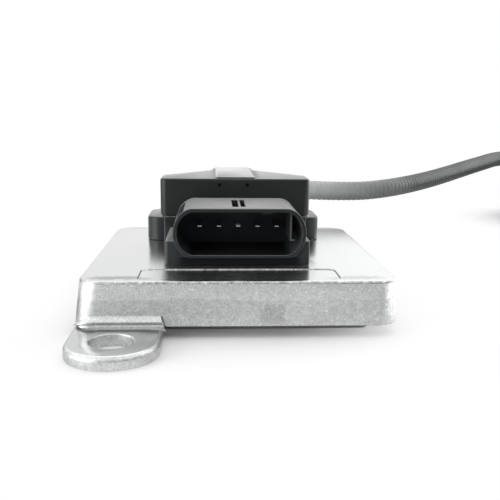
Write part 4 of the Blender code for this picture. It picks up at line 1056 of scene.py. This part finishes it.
def drill_round(piece, count, radius, distance):
    """Drills radial holes into an upright tube."""
    for index in range(count):
        drill = rod("drill", radius, 2.0 * MM, 9.0 * MM, (0.0, 0.0), 32)
        turn = Matrix.Rotation(math.tau * index / count, 4, "Z") @ Matrix.Rotation(math.pi / 2, 4, "Y")
        drill.data.transform(Matrix.Translation((0.0, 0.0, distance)) @ turn)
        combine(piece, drill, "DIFFERENCE")


steel = turned_steel("turned_stainless", 0.52, 0.30)
plug_profile = [
    (0.0, 0.0), (5.1, 0.0), (5.5, 0.15), (5.8, 0.6), (5.8, 4.3), (5.2, 5.0), (5.2, 7.0),
    (5.8, 7.7), (5.8, 11.0), (0.0, 11.0),
]
plug = lay_in_place(turned("probe_plug", plug_profile))
settle(plug, soft_rubber(), "seal_rubber", "probe_seal")

sleeve_profile = [
    (6.2, 1.6), (6.7, 1.6), (6.75, 1.75), (6.75, 4.2), (6.6, 4.6), (6.2, 5.1), (6.15, 5.6),
    (6.15, 6.4), (6.2, 6.9), (6.6, 7.4), (6.75, 7.8), (6.75, 32.8), (6.9, 33.2), (7.35, 34.2),
    (7.5, 34.6), (7.5, 39.8), (7.4, 40.0), (6.9, 40.0), (6.9, 34.8), (6.15, 33.4), (6.15, 8.0),
    (5.55, 7.0), (5.55, 5.0), (6.15, 4.0),
]
crimped = lay_in_place(turned("probe_shell", sleeve_profile, closed=True))
settle(crimped, steel, "stainless", "probe_sleeve")

body_profile = [
    (5.5, 34.9), (6.6, 34.9), (6.6, 40.4), (7.6, 40.4), (7.6, 66.3), (8.6, 66.3), (8.8, 66.5),
    (8.8, 68.3), (8.65, 68.6), (8.3, 69.3), (8.15, 69.4), (7.3, 69.4), (7.3, 71.7), (7.1, 72.0),
    (6.6, 72.0), (6.6, 68.6), (5.5, 68.6),
]
core = lay_in_place(turned("probe_core", body_profile, closed=True))
settle(core, steel, "stainless", "probe_body")

settle(make_union_screw(), steel, "stainless", "union_screw", body="screw")

guard_profile = [
    (5.8, 68.9), (6.3, 68.9), (6.3, 89.4), (6.2, 90.1), (5.95, 90.9), (5.5, 91.5), (5.0, 91.85),
    (4.5, 92.0), (1.4, 92.0), (1.3, 91.9), (1.3, 91.5), (4.4, 91.5), (5.2, 91.0), (5.8, 89.4),
]
guard = turned("guard_tube", guard_profile, closed=True)
drill_round(guard, GAS_HOLES, GAS_HOLE_RADIUS, GAS_HOLE_AT)
smooth(lay_in_place(guard), 25.0)
settle(guard, turned_steel("guard_stainless", 0.44, 0.36), "stainless", "outer_guard_tube")


# Inner pieces
# What sits inside the housing, the socket and the probe keeps its solid: tinned blades,
# the fitted board, wires, seals, and the probe's ceramics and inner tube.
def plain_finish(name, first, second, roughness, metallic=0.0, scale=300.0, depth=0.01):
    """Two close colours in soft patches, with the same patches in gloss and height."""
    made, place, shader = new_material(name, metallic=metallic)
    patch = noise(place, scale, 3.0)
    feed(shader, "Base Color", patch.between(0.3, 0.7).tint(first, second))
    feed(shader, "Roughness", roughness + 0.2 * (patch - 0.5))
    emboss(shader, patch, 0.3, depth)
    return made


def numbered(name, count):
    return ["%s_%d" % (name, index) for index in range(1, count + 1)]


inner_finishes = [
    (
        plain_finish("tin_plate", (0.42, 0.41, 0.39), (0.52, 0.51, 0.49), 0.28, 1.0, 900.0),
        numbered("terminal", 5),
    ),
    (
        plain_finish("solder_mask", (0.012, 0.085, 0.035), (0.02, 0.11, 0.05), 0.35),
        ["circuit_board"],
    ),
    (
        plain_finish("chip_epoxy", (0.016, 0.016, 0.017), (0.026, 0.026, 0.027), 0.55, 0.0, 1500.0),
        ["microcontroller", "heater_driver", "voltage_regulator", "choke_ring"],
    ),
    (
        plain_finish("plated_can", (0.62, 0.62, 0.63), (0.72, 0.72, 0.73), 0.3, 1.0, 700.0),
        numbered("storage_capacitor", 2) + ["quartz_crystal"] + numbered("board_screw", 4),
    ),
    (
        plain_finish("wire_jacket", (0.03, 0.03, 0.032), (0.05, 0.05, 0.052), 0.4),
        numbered("sensor_lead", 6),
    ),
    (
        plain_finish(
            "seal_compound", (0.02, 0.02, 0.021), (0.032, 0.032, 0.033), 0.65, 0.0, 500.0, 0.02
        ),
        ["bottom_seal", "header_gasket"],
    ),
    (
        plain_finish("sintered_ceramic", (0.74, 0.72, 0.66), (0.82, 0.80, 0.75), 0.5, 0.0, 800.0, 0.02),
        ["rear_ceramic_bush", "middle_ceramic_bush", "powder_seal"]
        + ["front_ceramic_bush", "ceramic_element"],
    ),
    (steel, ["inner_guard_tube"]),
]
for finish, names in inner_finishes:
    for name in names:
        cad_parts[name].material_slots[0].material = finish


# Table and light
# A white sweep that keeps the soft shadows. What the metal shows is the bright wall behind,
# three soft lights, and the floor, whose glow seen only in reflections is painted: dimmer at the
# left and front right, brighter in four spots, in a strip at the right and in two cards.
TABLE_HALF = 1.5


def white_table():
    made, place, shader = new_material("white_table", roughness=0.9)
    shader.inputs["Base Color"].default_value = (0.88, 0.88, 0.88, 1.0)
    x, y, _ = place.axes()
    side, depth = x.away(), y.away()
    mirror = place.node("LightPath", output=3)

    def reach(centre, stretch=(1.0, 1.0, 1.0)):
        moved = place.node("Mapping", inputs={0: place, 1: (-centre[0], -centre[1], 0.0), 3: stretch})
        return place.node("VectorMath", {"operation": "LENGTH"}, {0: moved}, output=1)

    # Painted reflection: for glossy rays the table glows dimmer at the left and front right, and
    # brighter in four spots, a strip at the right and two cards.
    patch = (0.0 - x).band(38.0, 52.0, 75.0, 110.0) * y.band(-33.0, -19.0, 0.0, 20.0)
    dim = 0.60 * patch + 0.18 * x.rise(10.0, 60.0) * (1.0 - y.rise(-30.0, 0.0))
    painted_card = y.band(-100.0, -70.0, -50.0, -20.0) * side.band(90.0, 115.0, 160.0, 200.0)
    painted_strip = x.rise(38.0, 46.0) * (1.0 - side.rise(100.0, 130.0)) * y.band(-56.0, -36.0, 20.0, 50.0)
    painted_apron = 1.0 - (depth - 64.0 * MM).away().rise(8.0, 14.0)
    painted_apron = painted_apron * (1.0 - (side - 27.0 * MM).away().rise(12.0, 18.0))
    level = 1.0 - mirror * (0.24 + dim - 0.28 * painted_apron - 1.2 * painted_strip - 7.0 * painted_card)
    light = (0.125 * level).tint((0.0, 0.0, 0.0), (8.0, 8.0, 8.0))
    off_unit = reach((-0.02, -0.01), (0.9, 0.8, 1.0)).rise(30.0, 75.0)
    off_coil = reach(COIL_CENTRE).rise(46.0, 75.0)
    off_probe = (x - PROBE_X).away().rise(10.0, 36.0).at_least(1.0 - y.rise(-38.0, -14.0))
    off_probe = off_probe.at_least(y.rise(90.0, 120.0))
    open_floor = off_unit.at_most(off_coil).at_most(off_probe)
    seen = place.node("LightPath", output=0) * (0.03 + 0.97 * open_floor)
    share = seen.at_least(0.95 * side.at_least(depth).rise(40.0, 48.0) * mirror)
    cover(shader, share, place.node("Emission", inputs={"Color": light, "Strength": 1.0}))
    return made


bpy.ops.mesh.primitive_plane_add(size=2 * TABLE_HALF, location=(0.0, 0.0, 0.0))
table = bpy.context.object
table.name = "table"
table.data.materials.append(white_table())

world = bpy.data.worlds.new("studio")
bpy.context.scene.world = world
world.use_nodes = True
sky = Wire(world.node_tree)
background = world.node_tree.nodes["Background"]
white = (1.0, 1.0, 1.0, 1.0)
background.inputs["Strength"].default_value = 0.5
background.inputs["Color"].default_value = white
right, back, up = sky.node("TexCoord", output=0).axes()
turned_away = right.between(0.0, 0.5)
wall = turned_away * back.between(0.05, 0.35) + (1.0 - turned_away) * back.between(-0.65, 0.15)
gap = (0.0 - right).between(0.25, 0.45) * back.between(0.0, 0.3) * (1.0 - up.between(0.08, 0.2))
room = ((0.40 + 0.60 * wall) * (1.0 - 0.92 * gap)).at_least(up.between(0.4, 0.6))
room = room * (1.0 - 0.78 * up.between(0.74, 0.95))
room = room + 0.25 * right.between(-0.1, 0.3) * back.between(0.3, 0.6) * up.between(0.03, 0.1)
backdrop = sky.node("Background", inputs={"Color": white, "Strength": 1.0})
reflected = sky.node("Background", inputs={"Color": white, "Strength": room})
mirror = sky.node("LightPath", output=3)
shown = sky.node("LightPath", output=0).at_least(sky.node("LightPath", output=6))
lighting = Wire(sky.tree, background.outputs[0])
mixed = sky.node("MixShader", inputs={0: mirror, 1: lighting, 2: reflected})
mixed = sky.node("MixShader", inputs={0: shown, 1: mixed, 2: backdrop})
sky.tree.links.new(mixed.socket, world.node_tree.nodes["World Output"].inputs["Surface"])


def soft_light(name, place, target, size, power):
    direction = Vector(target) - Vector(place)
    facing = direction.to_track_quat("-Z", "Y").to_euler()
    bpy.ops.object.light_add(type="AREA", location=place, rotation=facing)
    lamp = bpy.context.object
    lamp.name = name
    lamp.data.shape = "RECTANGLE"
    lamp.data.size, lamp.data.size_y = size
    lamp.data.energy = power


soft_light("overhead_softbox", (0.0, 0.1, 0.7), (0.0, 0.0, 0.0), (1.8, 1.5), 6.8)
soft_light("left_softbox", (-0.62, -0.3, 0.17), (0.0, 0.0, 0.02), (0.5, 0.34), 2.6)
soft_light("right_softbox", (0.60, 0.34, 0.17), (0.0, 0.0, 0.02), (0.5, 0.34), 1.8)
